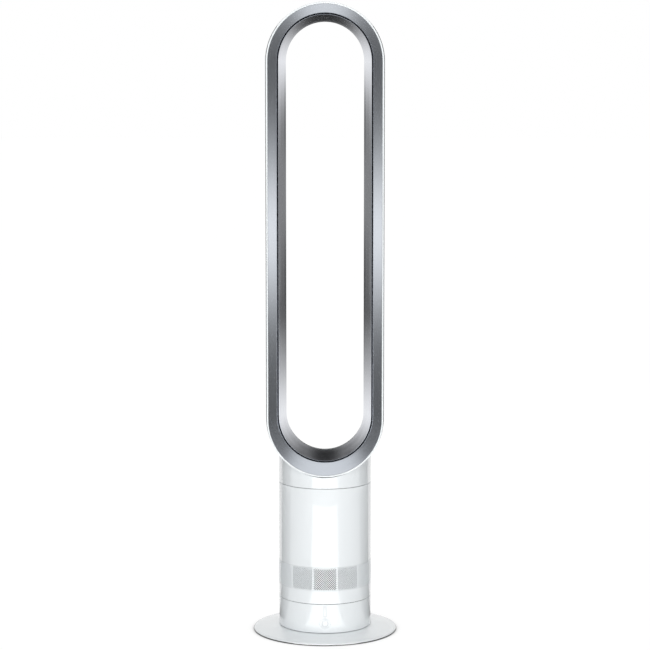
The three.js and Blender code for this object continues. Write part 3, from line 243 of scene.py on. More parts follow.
def carried_round_loop(name, outline):
    """An outline of (distance from the arc centre, depth) points carried round the loop."""
    straight = (UPPER_ARC - LOWER_ARC) * MM
    piece = draw_outline(name, [(distance, y, UPPER_ARC) for distance, y in outline])
    start_edit(piece)
    bpy.ops.mesh.select_all(action="SELECT")
    for centre, travel in [(UPPER_ARC, -straight), (LOWER_ARC, straight)]:
        bpy.ops.mesh.spin(
            steps=ARC_STEPS, angle=math.pi, center=(0, 0, centre * MM), axis=(0, 1, 0)
        )
        bpy.ops.mesh.extrude_region_move(TRANSFORM_OT_translate={"value": (0, 0, travel)})
    end_edit()
    close_seams(piece)
    return piece


def rounded(outline, radius, corners=None):
    """The outline with its corners, or those listed, rounded."""
    softened = []
    for i, corner in enumerate(outline):
        if corners is not None and i not in corners:
            softened.append(corner)
            continue
        here = Vector(corner)
        back = Vector(outline[i - 1]) - here
        ahead = Vector(outline[(i + 1) % len(outline)]) - here
        reach = min(radius, back.length * CORNER_SHARE, ahead.length * CORNER_SHARE)
        start, stop = here + back.normalized() * reach, here + ahead.normalized() * reach
        for step in range(ROUND_STEPS + 1):
            t = step / ROUND_STEPS
            softened.append(tuple(start * (1 - t) ** 2 + here * (2 * t * (1 - t)) + stop * t**2))
    return softened


def flowing(points, steps):
    """A smooth open line through the points."""
    line = []
    for i in range(len(points) - 1):
        a = Vector(points[max(i - 1, 0)])
        b, c = Vector(points[i]), Vector(points[i + 1])
        d = Vector(points[min(i + 2, len(points) - 1)])
        squared = a * 2 - b * 5 + c * 4 - d
        cubed = b * 3 - a - c * 3 + d
        for step in range(steps):
            t = step / steps
            bend = (c - a) * t + squared * t**2 + cubed * t**3
            line.append(tuple(b + bend * 0.5))
    return [*line, tuple(points[-1])]


def moved_sideways(line, distance):
    """An open line moved sideways by a distance."""
    shifted = []
    for i, point in enumerate(line):
        along = Vector(line[min(i + 1, len(line) - 1)]) - Vector(line[max(i - 1, 0)])
        along.normalize()
        shifted.append((point[0] - along.y * distance, point[1] + along.x * distance))
    return shifted


def block(name, low, high):
    deselect_all()
    middle = (Vector(low) + Vector(high)) / 2 * MM
    bpy.ops.mesh.primitive_cube_add(size=1, location=middle)
    piece = bpy.context.active_object
    piece.name = name
    piece.scale = (Vector(high) - Vector(low)) * MM
    settle(piece)
    return piece


def pin(name, radius, z, near_y, far_y):
    """A cylinder along Y."""
    deselect_all()
    bpy.ops.mesh.primitive_cylinder_add(
        vertices=PIN_STEPS,
        radius=radius * MM,
        depth=(far_y - near_y) * MM,
        location=(0, (near_y + far_y) / 2 * MM, z * MM),
        rotation=(math.pi / 2, 0, 0),
    )
    piece = bpy.context.active_object
    piece.name = name
    settle(piece)
    return piece


def cut(piece, cutter, operation="DIFFERENCE"):
    """Cuts a piece with another, which is used up."""
    choose(piece)
    knife = piece.modifiers.new("cut", "BOOLEAN")
    knife.operation = operation
    knife.solver = "EXACT"
    knife.object = cutter
    bpy.ops.object.modifier_apply(modifier=knife.name)
    bpy.data.objects.remove(cutter)


def soften_edges(piece, width, degrees=40, segments=2):
    choose(piece)
    bevel = piece.modifiers.new("edges", "BEVEL")
    bevel.width = width * MM
    bevel.segments = segments
    bevel.limit_method = "ANGLE"
    bevel.angle_limit = math.radians(degrees)
    bpy.ops.object.modifier_apply(modifier=bevel.name)


# ---------- materials ----------


class Signal:
    """A value that runs through a material. Sums and products of signals add Math nodes."""

    def __init__(self, finish, socket):
        self.finish = finish
        self.socket = socket

    def _math(self, operation, first, second):
        return self.finish.node("ShaderNodeMath", {"operation": operation}, {0: first, 1: second})

    def __add__(self, other):
        return self._math("ADD", self, other)

    def __radd__(self, other):
        return self._math("ADD", other, self)

    def __sub__(self, other):
        return self._math("SUBTRACT", self, other)

    def __rsub__(self, other):
        return self._math("SUBTRACT", other, self)

    def __mul__(self, other):
        return self._math("MULTIPLY", self, other)

    def __rmul__(self, other):
        return self._math("MULTIPLY", other, self)

    def __truediv__(self, other):
        return self._math("DIVIDE", self, other)

    def __pow__(self, other):
        return self._math("POWER", self, other)


class Finish:
    """A material, or the world's light, in the making."""

    def __init__(self, name, library="materials"):
        self.material = getattr(bpy.data, library).new(name)
        self.material.use_nodes = True
        self.tree = self.material.node_tree
        self.tree.nodes.clear()

    def node(self, kind, settings=None, sockets=None, output=0):
        made = self.tree.nodes.new(kind)
        for name, value in (settings or {}).items():
            if name == "stops":
                self._set_stops(made.color_ramp, value)
            else:
                setattr(made, name, value)
        for key, value in (sockets or {}).items():
            if isinstance(value, Signal):
                self.tree.links.new(value.socket, made.inputs[key])
            else:
                made.inputs[key].default_value = value
        return Signal(self, made.outputs[output]) if made.outputs else None

    def _set_stops(self, band, stops):
        while len(band.elements) < len(stops):
            band.elements.new(0.5)
        for element, (spot, colour) in zip(band.elements, stops):
            element.position = spot
            element.color = (*colour, 1)

    def place(self, stretch=(1, 1, 1)):
        """Object coordinates, with each axis stretched by a factor."""
        spot = self.node("ShaderNodeTexCoord", output="Object")
        return self.node("ShaderNodeMapping", {}, {"Vector": spot, "Scale": stretch})

    def axis(self, name):
        spot = self.node("ShaderNodeTexCoord", output="Object")
        return self.node("ShaderNodeSeparateXYZ", {}, {"Vector": spot}, output=name)

    def noise(self, scale, detail=3, stretch=(1, 1, 1)):
        return self.node(
            "ShaderNodeTexNoise",
            {},
            {"Vector": self.place(stretch), "Scale": scale, "Detail": detail},
        )

    def ramp(self, signal, stops):
        return self.node("ShaderNodeValToRGB", {"stops": stops}, {0: signal})

    def blend(self, factor, first, second):
        """Mixes two colours, each three numbers or a signal."""
        ends = [end if isinstance(end, Signal) else (*end, 1) for end in (first, second)]
        return self.node(
            "ShaderNodeMix",
            {"data_type": "RGBA"},
            {"Factor": factor, 6: ends[0], 7: ends[1]},
            output=2,
        )

    def bump(self, height, strength, depth):
        return self.node(
            "ShaderNodeBump", {}, {"Height": height, "Strength": strength, "Distance": depth * MM}
        )

    def surface(self, **sockets):
        """Ends the material in a Principled shader. A socket's name has _ for each space."""
        named = {key.replace("_", " "): value for key, value in sockets.items()}
        shader = self.node("ShaderNodeBsdfPrincipled", {}, named)
        self.node("ShaderNodeOutputMaterial", {}, {"Surface": shader})
        return self.material


def gloss_white(name, painted_shade=False, coat=1.0):
    """Glossy white moulding with a polished mould's faint ripple and, if asked, painted shade:
    near-black deeper in the wall than a set depth.
    """
    f = Finish(name)
    cloud = f.noise(14, 2)
    tone = f.blend(cloud, (0.81, 0.845, 0.865), (0.835, 0.87, 0.885))
    # Painted shade: the wall turns near-black deeper in than a set depth, so holes and slots read
    # dark
    if painted_shade:
        x, y = f.axis("X"), f.axis("Y")
        outside = f.node(
            "ShaderNodeMath",
            {"operation": "GREATER_THAN"},
            {0: (x * x + y * y) ** 0.5, 1: (BODY_RADIUS - PAINTED_SHADE_DEPTH) * MM},
        )
        tone = f.blend(outside, (0.02, 0.021, 0.022), tone)
    return f.surface(
        Base_Color=tone,
        Roughness=0.3 + f.noise(60, 2) * 0.05,
        Coat_Weight=coat,
        Coat_Roughness=0.03,
        Normal=f.bump(f.noise(420, 2), 0.03, 0.05),
    )


def satin_silver(name, base):
    """Metallic coating with a fine brushed grain across the ring."""
    f = Finish(name)
    grain = f.noise(900, 3, stretch=(1, 0.06, 1))
    fleck = f.noise(3600, 2)
    darker = tuple(channel * 0.94 for channel in base)
    return f.surface(
        Base_Color=f.blend(grain, darker, base),
        Metallic=1.0,
        Roughness=0.16 + grain * 0.06,
        Normal=f.bump(grain * 0.7 + fleck * 0.3, 0.06, 0.04),
    )


def grey_moulding():
    """Matt grey moulding with a spark-eroded grain."""
    f = Finish("grey_moulding")
    return f.surface(
        Base_Color=f.blend(f.noise(40), (0.19, 0.197, 0.205), (0.24, 0.248, 0.256)),
        Roughness=0.46 + f.noise(900) * 0.12,
        Normal=f.bump(f.noise(1500, 4), 0.18, 0.06),
    )


def dark_moulding():
    """Near-black glass-filled moulding with faint flow marks."""
    f = Finish("dark_moulding")
    flow = f.noise(26, 4, stretch=(1, 1, 0.3))
    return f.surface(
        Base_Color=f.blend(flow, (0.028, 0.03, 0.033), (0.05, 0.052, 0.056)),
        Roughness=0.48 + f.noise(1100) * 0.14,
        Normal=f.bump(f.noise(1400, 4), 0.2, 0.06),
    )


def clear_window():
    """Smooth translucent white pane."""
    f = Finish("clear_window")
    return f.surface(
        Base_Color=f.blend(f.noise(30), (0.79, 0.81, 0.83), (0.83, 0.85, 0.865)),
        Roughness=0.16 + f.noise(300) * 0.04,
        Coat_Weight=1.0,
        Coat_Roughness=0.02,
        Normal=f.bump(f.noise(500, 2), 0.02, 0.04),
    )


def soft_rubber():
    """Matt rubber with a dusty, slightly pitted skin."""
    f = Finish("soft_rubber")
    dust = f.noise(180, 5)
    return f.surface(
        Base_Color=f.blend(dust, (0.028, 0.028, 0.03), (0.06, 0.06, 0.062)),
        Roughness=0.74 + dust * 0.16,
        Normal=f.bump(f.noise(1300, 5), 0.35, 0.1),
    )


def open_foam():
    """Open-cell acoustic foam."""
    f = Finish("open_foam")
    cells = f.node(
        "ShaderNodeTexVoronoi",
        {"feature": "DISTANCE_TO_EDGE"},
        {"Vector": f.place(), "Scale": 620},
    )
    return f.surface(
        Base_Color=f.ramp(cells, [(0, (0.12, 0.125, 0.13)), (0.35, (0.025, 0.026, 0.028))]),
        Roughness=0.95,
        Normal=f.bump(cells, 0.9, 0.6),
    )


def plated_steel():
    """Zinc-plated steel with rolling lines and soft bloom."""
    f = Finish("plated_steel")
    rolled = f.noise(500, 3, stretch=(0.08, 1, 1))
    bloom = f.noise(35, 4)
    return f.surface(
        Base_Color=f.blend(bloom, (0.48, 0.49, 0.5), (0.6, 0.61, 0.615)),
        Metallic=1.0,
        Roughness=0.26 + bloom * 0.12 + rolled * 0.06,
        Normal=f.bump(rolled, 0.12, 0.04),
    )


def natural_nylon():
    """Unfilled nylon, cream and slightly waxy."""
    f = Finish("natural_nylon")
    return f.surface(
        Base_Color=f.blend(f.noise(70), (0.7, 0.67, 0.59), (0.79, 0.765, 0.69)),
        Roughness=0.42 + f.noise(700) * 0.1,
        Normal=f.bump(f.noise(1100, 3), 0.12, 0.05),
    )


def copper_windings():
    """Enamelled wire laid in close turns between steel laminations."""
    f = Finish("copper_windings")
    turns = f.node(
        "ShaderNodeTexWave",
        {"wave_type": "BANDS", "bands_direction": "Z"},
        {"Vector": f.place(), "Scale": 420, "Distortion": 1.2, "Detail": 2},
        output="Fac",
    )
    return f.surface(
        Base_Color=f.ramp(turns, [(0, (0.16, 0.055, 0.022)), (1, (0.62, 0.29, 0.13))]),
        Metallic=0.85,
        Roughness=0.32 + turns * 0.1,
        Normal=f.bump(turns, 0.6, 0.25),
    )


def circuit_board():
    """Green solder mask over faint copper tracks."""
    f = Finish("circuit_board")
    tracks = f.node(
        "ShaderNodeTexBrick",
        {"offset": 0.35, "squash": 0.6},
        {
            "Vector": f.place(),
            "Color1": (0.012, 0.105, 0.045, 1),
            "Color2": (0.016, 0.135, 0.06, 1),
            "Mortar": (0.035, 0.2, 0.085, 1),
            "Scale": 210,
            "Mortar Size": 0.06,
        },
    )
    return f.surface(
        Base_Color=tracks,
        Roughness=0.3 + f.noise(400) * 0.12,
        Normal=f.bump(f.noise(600), 0.08, 0.05),
    )


def symbol_grey():
    """Light grey pad print with a faint mottle."""
    f = Finish("symbol_grey")
    return f.surface(
        Base_Color=f.blend(f.noise(900), (0.56, 0.58, 0.595), (0.62, 0.64, 0.655)),
        Roughness=0.4 + f.noise(700) * 0.1,
        Normal=f.bump(f.noise(1600), 0.06, 0.02),
    )


WHITE = gloss_white("gloss_white")
# These two carry painted shade on their inner walls, as gloss_white draws it
PAINTED_SHADE_WHITE = gloss_white("gloss_white_lined", painted_shade=True)
BAND_WHITE = gloss_white("band_white", painted_shade=True, coat=0.45)
FRONT_SILVER = satin_silver("front_silver", (0.625, 0.665, 0.725))
INNER_SILVER = satin_silver("inner_silver", (0.65, 0.665, 0.705))
SLOT_FINISHES = {
    "white_gloss": WHITE,
    "silver": FRONT_SILVER,
    "grey_plastic": grey_moulding(),
    "dark_plastic": dark_moulding(),
    "window": clear_window(),
    "nylon": natural_nylon(),
    "rubber": soft_rubber(),
    "foam": open_foam(),
    "steel": plated_steel(),
    "windings": copper_windings(),
    "board": circuit_board(),
}
SYMBOL = symbol_grey()


def finish_cad_nodes():
    """Every solid that still shows takes the finish of its slot."""
    for row in frame["record"]["subparts"]:
        node = frame["nodes"][row["node"]]
        node.data.materials.clear()
        node.data.materials.append(SLOT_FINISHES[row["material_slot"]])


def fit(piece, body, slot, finish, *nodes):
    """Gives a finished piece its material and sets it on its body in place of CAD nodes."""
    piece.data.materials.clear()
    piece.data.materials.append(finish)
    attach(piece, body)
    if nodes:
        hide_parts(*nodes)


# ---------- foot ----------


def foot_plate():
    top = flowing(
        [(FOOT_FLAT, FOOT_TOP), (88, 8.1), (100, 6.3), (109, 4.9), (112.6, FOOT_RIM_TOP)], 5
    )
    edge = flowing([(112.6, FOOT_RIM_TOP), (114.3, 3.4), (115, 2.4), (114.6, 1.6), (114, 1.2)], 4)
    outline = [
        (SPINDLE_HOLE, FOOT_TOP),
        *top,
        *edge[1:],
        (FOOT_RECESS, FOOT_UNDERSIDE),
        (FOOT_RECESS, 3.1),
        (106, 3.4),
        (FOOT_FLAT, FOOT_TOP - FOOT_SKIN),
        (SPINDLE_HOLE, FOOT_TOP - FOOT_SKIN),
    ]
    plate = turned("foot_plate_shown", outline)
    notch = block(
        "notch", (-GLAND_NOTCH_HALF, GLAND_NOTCH_FROM, 0), (GLAND_NOTCH_HALF, 118, FOOT_TOP + 1)
    )
    cut(plate, notch)
    smooth(plate)
    fit(plate, "foot", "white_gloss", WHITE, "foot_plate")


def pad_ring():
    outline = rounded(
        [(PAD_INNER, 0), (PAD_OUTER, 0), (PAD_OUTER, PAD_HEIGHT), (PAD_INNER, PAD_HEIGHT)], 0.4
    )
    ring = turned("foot_pad_shown", outline)
    smooth(ring)
    fit(ring, "foot", "rubber", SLOT_FINISHES["rubber"], "foot_pad_ring")


# ---------- body ----------


def casing_outline(bottom, top):
    inner = BODY_RADIUS - CASING_WALL
    return rounded(
        [(inner, bottom), (BODY_RADIUS, bottom), (BODY_RADIUS, top), (inner, top)],
        SEAM_ROUND,
        corners={1, 2},
    )


def control_casing():
    casing = turned("control_casing_shown", casing_outline(CONTROL_BOTTOM, CONTROL_TOP))
    cut(casing, pin("hole", BUTTON_HOLE, BUTTON_Z, CUT_FRONT, CUT_BACK))
    slot = block(
        "slot",
        (-WINDOW_HALF - WINDOW_GAP, CUT_FRONT, WINDOW_BOTTOM - WINDOW_GAP),
        (WINDOW_HALF + WINDOW_GAP, CUT_BACK, WINDOW_TOP + WINDOW_GAP),
    )
    cut(casing, slot)
    smooth(casing)
    fit(casing, "tower", "white_gloss", PAINTED_SHADE_WHITE, "control_casing")


def plain_casings():
    for name, bottom, top in [
        ("casing_skirt", SKIRT_BOTTOM, SKIRT_TOP),
        ("main_casing", CASING_BOTTOM, CASING_TOP),
    ]:
        casing = turned(f"{name}_shown", casing_outline(bottom, top))
        smooth(casing)
        fit(casing, "tower", "white_gloss", PAINTED_SHADE_WHITE, name)


def drum(radius, low, high):
    """A solid cylinder round the body's axis, to give a front its curve."""
    return turned("drum", [(0, low), (radius, low), (radius, high), (0, high)])


def power_button():
    """Round button whose face follows the casing's curve."""
    back = -BODY_RADIUS + BUTTON_DEPTH
    button = pin("power_button_shown", BUTTON_RADIUS, BUTTON_Z, CUT_FRONT, back)
    cut(button, drum(BUTTON_FACE, 10, 45), "INTERSECT")
    soften_edges(button, BUTTON_EDGE, 50)
    smooth(button)
    fit(button, "power_button", "white_gloss", WHITE, "power_button")


def power_symbol():
    """The generic power mark: a broken ring with a short upright bar in its gap."""
    radius, width, front = SYMBOL_RADIUS, SYMBOL_LINE, BUTTON_FACE + SYMBOL_PROUD
    start = math.radians(SYMBOL_START)
    section = [
        (across * math.cos(start), depth, BUTTON_Z + across * math.sin(start))
        for across, depth in [
            (radius - width / 2, -front),
            (radius + width / 2, -front),
            (radius + width / 2, SYMBOL_DEPTH - front),
            (radius - width / 2, SYMBOL_DEPTH - front),
        ]
    ]
    ring = draw_outline("power_symbol", section)
    start_edit(ring)
    bpy.ops.mesh.select_all(action="SELECT")
    bpy.ops.mesh.edge_face_add()
    bpy.ops.mesh.spin(
        steps=32, angle=math.radians(SYMBOL_SWEEP), center=(0, 0, BUTTON_Z * MM), axis=(0, 1, 0)
    )
    end_edit()
    close_seams(ring)
    bar = block(
        "bar",
        (-width / 2, -front, BUTTON_Z + BAR_BOTTOM),
        (width / 2, -front + SYMBOL_DEPTH, BUTTON_Z + BAR_TOP),
    )
    choose(ring, bar)
    bpy.ops.object.join()
    smooth(ring)
    fit(ring, "power_button", "white_gloss", SYMBOL)


def display_window():
    pane = block(
        "display_window_shown",
        (-WINDOW_HALF, CUT_FRONT, WINDOW_BOTTOM),
        (WINDOW_HALF, -BODY_RADIUS + WINDOW_DEPTH, WINDOW_TOP),
    )
    cut(pane, drum(BODY_RADIUS - WINDOW_SET_BACK, 30, 60), "INTERSECT")
    soften_edges(pane, WINDOW_EDGE)
    smooth(pane)
    fit(pane, "tower", "window", SLOT_FINISHES["window"], "display_window")


# ---------- perforated band ----------


def flat_lattice(half_width, half_height):
    """A flat sheet of diamond cells, trimmed to a panel, with an eight-sided face in each."""
    count = 2 * PANEL_CELLS + 2
    deselect_all()
    bpy.ops.mesh.primitive_grid_add(
        x_subdivisions=2 * count, y_subdivisions=2 * count, size=2 * count * math.sqrt(2)
    )
    sheet = bpy.context.active_object
    sheet.rotation_euler = (0, 0, math.pi / 4)
    settle(sheet)
    sheet.scale = (HOLE_COLUMN * MM, HOLE_ROW * MM, 1)
    sheet.rotation_euler = (math.pi / 2, 0, 0)
    settle(sheet)
    start_edit(sheet, "FACE")
    for x, z in [(1, 0), (-1, 0), (0, 1), (0, -1)]:
        bpy.ops.mesh.select_all(action="SELECT")
        edge = (x * half_width * MM, 0, z * half_height * MM)
        bpy.ops.mesh.bisect(plane_co=edge, plane_no=(x, 0, z), clear_outer=True)
    whole = 2 * HOLE_COLUMN * HOLE_ROW * MM * MM
    select(sheet, "faces", lambda face: face.calc_area() > WHOLE_CELL * whole)
    apothem = HOLE_COLUMN * HOLE_ROW / math.hypot(HOLE_COLUMN, HOLE_ROW)
    side = HOLE_RADIUS * math.cos(math.pi / 8)
    bpy.ops.mesh.inset(thickness=(apothem - side) * MM, use_individual=True)
    spoke = (apothem - side) * math.hypot(HOLE_COLUMN, HOLE_ROW) / max(HOLE_COLUMN, HOLE_ROW)
    corner = min(side * (2 - math.sqrt(2)), CORNER_REACH * spoke)
    bpy.ops.mesh.bevel(offset=corner * MM, affect="VERTICES", segments=1, clamp_overlap=True)
    end_edit()
    return sheet


def grille_panel():
    """One panel, bent to the casing, with all its holes along its own middle direction."""
    turn = math.tau / PANELS
    half_arc = BODY_RADIUS * turn / 2
    wide, high = half_arc - PANEL_MARGIN, (GRILLE_TOP - GRILLE_BOTTOM) / 2 - PANEL_MARGIN
    sheet = flat_lattice(wide, high)
    start_edit(sheet, "FACE")
    hole_area = 2 * math.sqrt(2) * HOLE_RADIUS**2 * MM * MM
    select(
        sheet,
        "faces",
        lambda face: len(face.verts) == 8 and abs(face.calc_area() / hole_area - 1) < HOLE_SPREAD,
    )
    bpy.ops.mesh.delete(type="FACE")
    bpy.ops.mesh.select_mode(type="EDGE")
    for x, z, edge in [(1, 0, wide), (-1, 0, wide), (0, 1, high), (0, -1, high)]:
        line = edge * MM
        select(
            sheet,
            "edges",
            lambda e: all(abs(v.co.x * x + v.co.z * z - line) < SAME_PLACE for v in e.verts),
        )
        bpy.ops.mesh.extrude_region_move(
            TRANSFORM_OT_translate={"value": (x * PANEL_MARGIN * MM, 0, z * PANEL_MARGIN * MM)}
        )
    end_edit()
    bend = sheet.modifiers.new("bend", "SIMPLE_DEFORM")
    bend.deform_method = "BEND"
    bend.deform_axis = "Z"
    bend.angle = turn
    choose(sheet)
    bpy.ops.object.modifier_apply(modifier=bend.name)
    sheet.location = (0, -BODY_RADIUS * MM, (GRILLE_TOP + GRILLE_BOTTOM) / 2 * MM)
    settle(sheet)
    start_edit(sheet, "FACE")
    bpy.ops.mesh.select_all(action="SELECT")
    bpy.ops.mesh.extrude_region_move(TRANSFORM_OT_translate={"value": (0, GRILLE_WALL * MM, 0)})
    bpy.ops.mesh.select_mode(type="VERT")
    side_x = BODY_RADIUS * math.sin(turn / 2) * MM
    side_y = -BODY_RADIUS * math.cos(turn / 2) * MM
    mid_wall = side_y + 0.5 * GRILLE_WALL * MM
    for x in (1, -1):
        select(
            sheet,
            "verts",
            lambda v: abs(v.co.x - x * side_x) < SAME_PLACE and v.co.y > mid_wall,
        )
        inwards = (
            -x * GRILLE_WALL * math.sin(turn / 2) * MM,
            GRILLE_WALL * (math.cos(turn / 2) - 1) * MM,
            0,
        )
        bpy.ops.transform.translate(value=inwards)
    end_edit()
    start_edit(sheet, "FACE")
    flank = math.tan(turn / 2)
    select(
        sheet,
        "faces",
        lambda face: all(abs(abs(v.co.x) + v.co.y * flank) < 2 * SAME_PLACE for v in face.verts),
    )
    bpy.ops.mesh.delete(type="FACE")
    end_edit()
    return sheet


def inlet_grille():
    panel = grille_panel()
    panel.name = "inlet_grille_shown"
    copies = []
    for i in range(1, PANELS):
        copy = panel.copy()
        copy.data = panel.data.copy()
        bpy.context.scene.collection.objects.link(copy)
        copy.rotation_euler = (0, 0, i * math.tau / PANELS)
        copies.append(copy)
    for copy in copies:
        settle(copy)
    choose(panel, *copies)
    bpy.ops.object.join()
    close_seams(panel)
    smooth(panel, 28)
    fit(panel, "tower", "white_gloss", BAND_WHITE, "inlet_grille")


# ---------- loop ----------

SHELL_LINE = [
    (RIM_RADIUS - 0.2 * RIM_WIDTH, LOOP_FRONT + 0.3),
    (LOOP_HALF_WIDTH, -56.2),
    (LOOP_HALF_WIDTH, -21),
    (91.2, 3.2),
    (87, 20.8),
    (81, 30.7),
    (74.5, LOOP_BACK),
    (68.4, 32.2),
    (63.7, 26.5),
    (THROAT_RADIUS, THROAT_Y + 0.3),
]


def kept_inside(line):
    """The line with nothing beyond the loop's widest line or its back."""
    return [(min(distance, LOOP_HALF_WIDTH), min(y, LOOP_BACK)) for distance, y in line]


def rear_shell():
    outer = kept_inside(flowing(SHELL_LINE, 5))
    inner = moved_sideways(outer, LOOP_WALL)[2:-1]
    rim = flowing(
        [
            (RIM_RADIUS - RIM_WIDTH, LOOP_FRONT + 0.6),
            (RIM_RADIUS - 0.8 * RIM_WIDTH, LOOP_FRONT + 0.1),
            (RIM_RADIUS - 0.5 * RIM_WIDTH, LOOP_FRONT),
            outer[0],
        ],
        3,
    )
    outline = [
        *rim[:-1],
        *outer,
        (THROAT_RADIUS + LOOP_WALL, THROAT_Y + 0.3),
        *reversed(inner),
        (RIM_RADIUS - RIM_WIDTH, LOOP_FRONT + LOOP_WALL + 0.4),
    ]
    shell = carried_round_loop("loop_shell", outline)
    smooth(shell, 40)
    nodes = [f"nozzle_rear_shell_{part}" for part in ("top", "bottom", "left", "right")]
    fit(shell, "tower", "white_gloss", WHITE, *nodes)


def front_ring():
    """A sloping face that ends at the slot in a lip curled outwards."""
    face = flowing([RING_FRONT, (85.1, -64.1), (81.4, -52.8), (77.6, -41.5), RING_LIP], 3)
    curl = flowing([RING_LIP, (74.4, -28.5), (76, -27.2), (77.9, -26), (80, -25)], 3)
    line = [*face, *curl[1:]]
    back = moved_sideways(line, -FRONT_RING_WALL)
    back[0] = (RING_FRONT[0], RING_FRONT[1] + FRONT_RING_WALL)
    ring = carried_round_loop("loop_front_ring", [*line, *reversed(back)])
    smooth(ring, 40)
    fit(ring, "tower", "silver", FRONT_SILVER, "nozzle_front_ring")


def inner_ring():
    """Thin at the slot, where the air leaves over it, and full further back."""
    throat = (THROAT_RADIUS, THROAT_Y)
    line = flowing([(73, -33), (69.9, -22.6), (67, -11.5), (64.3, -1.4), throat], 3)
    full = moved_sideways(line, -INNER_RING_WALL)
    thin, growth = 0.2, 0.27  # share of the wall at the slot, and what each further point adds
    back = [
        tuple(Vector(near).lerp(Vector(far), min(1, thin + growth * i)))
        for i, (near, far) in enumerate(zip(line, full))
    ]
    back[-1] = (THROAT_RADIUS + INNER_RING_WALL, THROAT_Y)
    ring = carried_round_loop("loop_inner_ring", [*line, *reversed(back)])
    smooth(ring, 40)
    nodes = [f"nozzle_inner_ring_{part}" for part in ("top", "bottom", "left", "right")]
    fit(ring, "tower", "silver", INNER_SILVER, *nodes)


def neck_cylinder(name, radius, bottom, drop):
    """A solid cylinder cut off by the sloping roof."""
    deselect_all()
    bpy.ops.mesh.primitive_cylinder_add(
        vertices=CASING_STEPS,
        radius=radius * MM,
        depth=(NECK_TOP - bottom) * MM,
        location=(0, 0, (NECK_TOP + bottom) / 2 * MM),
    )
    piece = bpy.context.active_object
    piece.name = name
    settle(piece)
    start_edit(piece, "FACE")
    bpy.ops.mesh.select_all(action="SELECT")
    bpy.ops.mesh.bisect(
        plane_co=(0, BODY_RADIUS * MM, (NECK_REAR - drop) * MM),
        plane_no=(0, NECK_SLOPE, 1),
        use_fill=True,
        clear_outer=True,
    )
    end_edit()
    return piece


def lower_arc_space():
    """The room that the loop's lower arc takes in the neck, with the shadow gap round it."""
    outside = moved_sideways(kept_inside(flowing(SHELL_LINE[:7], 5)), -NECK_SHADOW_GAP)
    front, back = LOOP_FRONT - 5, LOOP_BACK + NECK_SHADOW_GAP
    outline = [(0, front), (RIM_RADIUS + NECK_SHADOW_GAP, front), *outside[2:], (0, back)]
    space = draw_outline("space", [(distance, y, LOWER_ARC) for distance, y in outline], False)
    start_edit(space)
    bpy.ops.mesh.select_all(action="SELECT")
    bpy.ops.mesh.spin(
        steps=2 * ARC_STEPS, angle=math.tau, center=(0, 0, LOWER_ARC * MM), axis=(0, 1, 0)
    )
    end_edit()
    close_seams(space)
    return space


def neck():
    """Round neck with a sloping roof behind, cut to the loop with a narrow shadow gap."""
    body = neck_cylinder("loop_neck", BODY_RADIUS, NECK_BOTTOM - 10, 0)
    soften_edges(body, NECK_ROOF_ROUND, 30, 3)
    start_edit(body, "FACE")
    bpy.ops.mesh.select_all(action="SELECT")
    bpy.ops.mesh.bisect(
        plane_co=(0, 0, NECK_BOTTOM * MM), plane_no=(0, 0, -1), use_fill=True, clear_outer=True
    )
    end_edit()
    soften_edges(body, SEAM_ROUND, 60, 2)
    cut(body, lower_arc_space())
    cut(body, neck_cylinder("hollow", BODY_RADIUS - CASING_WALL, NECK_BOTTOM - 5, 4))
    smooth(body)
    fit(body, "tower", "white_gloss", WHITE, "nozzle_neck")


# ---------- studio ----------

SKY_LIGHT = 0.4  # strength of the sky where it only lights
FLOOR_STRENGTH = 1.03
FLOOR_LIT_SHARE = 0.96  # how much of the floor that is seen glows by itself
CONTACT_REACH = 30  # distance over which the painted contact shadow darkens the floor round the foot
WEDGE_ANGLE = 29.6  # each edge of the front floor card, in degrees: twice that of the bright strip
WEDGE_EXTRA = 19  # added to the front floor card at each side
FLOOR_CARD_FAR = 2800
FLOOR_CARD_LIFT = 0.4
GLOW_Y = 250  # depth at which the rings' glow cards stand
CARD_HALF = 265  # half the width, and the ends, of the cards behind the loop
CARD_LOW = 255
CARD_HIGH = 1000
CAMERA_PLACE = (0, -3.643, 0.936)  # in metres
CAMERA_DOWN = 6.896  # in degrees
CAMERA_LENS = 127.17
CAMERA_SENSOR = 36


def world_light():
    """Soft light all round, and a white background for camera, gloss and glass."""
    f = Finish("studio", "worlds")
    bpy.context.scene.world = f.material
    seen = f.node("ShaderNodeLightPath", output="Is Camera Ray")
    for ray in ("Glossy", "Transmission"):
        other = f.node("ShaderNodeLightPath", output=f"Is {ray} Ray")
        seen = f.node("ShaderNodeMath", {"operation": "MAXIMUM"}, {0: seen, 1: other})
    ends = {"Value": seen, "To Min": SKY_LIGHT, "To Max": 1.0}
    strength = f.node("ShaderNodeMapRange", {}, ends)
    sky = f.node("ShaderNodeBackground", {}, {"Color": (1, 1, 1, 1), "Strength": strength})
    f.node("ShaderNodeOutputWorld", {}, {"Surface": sky})


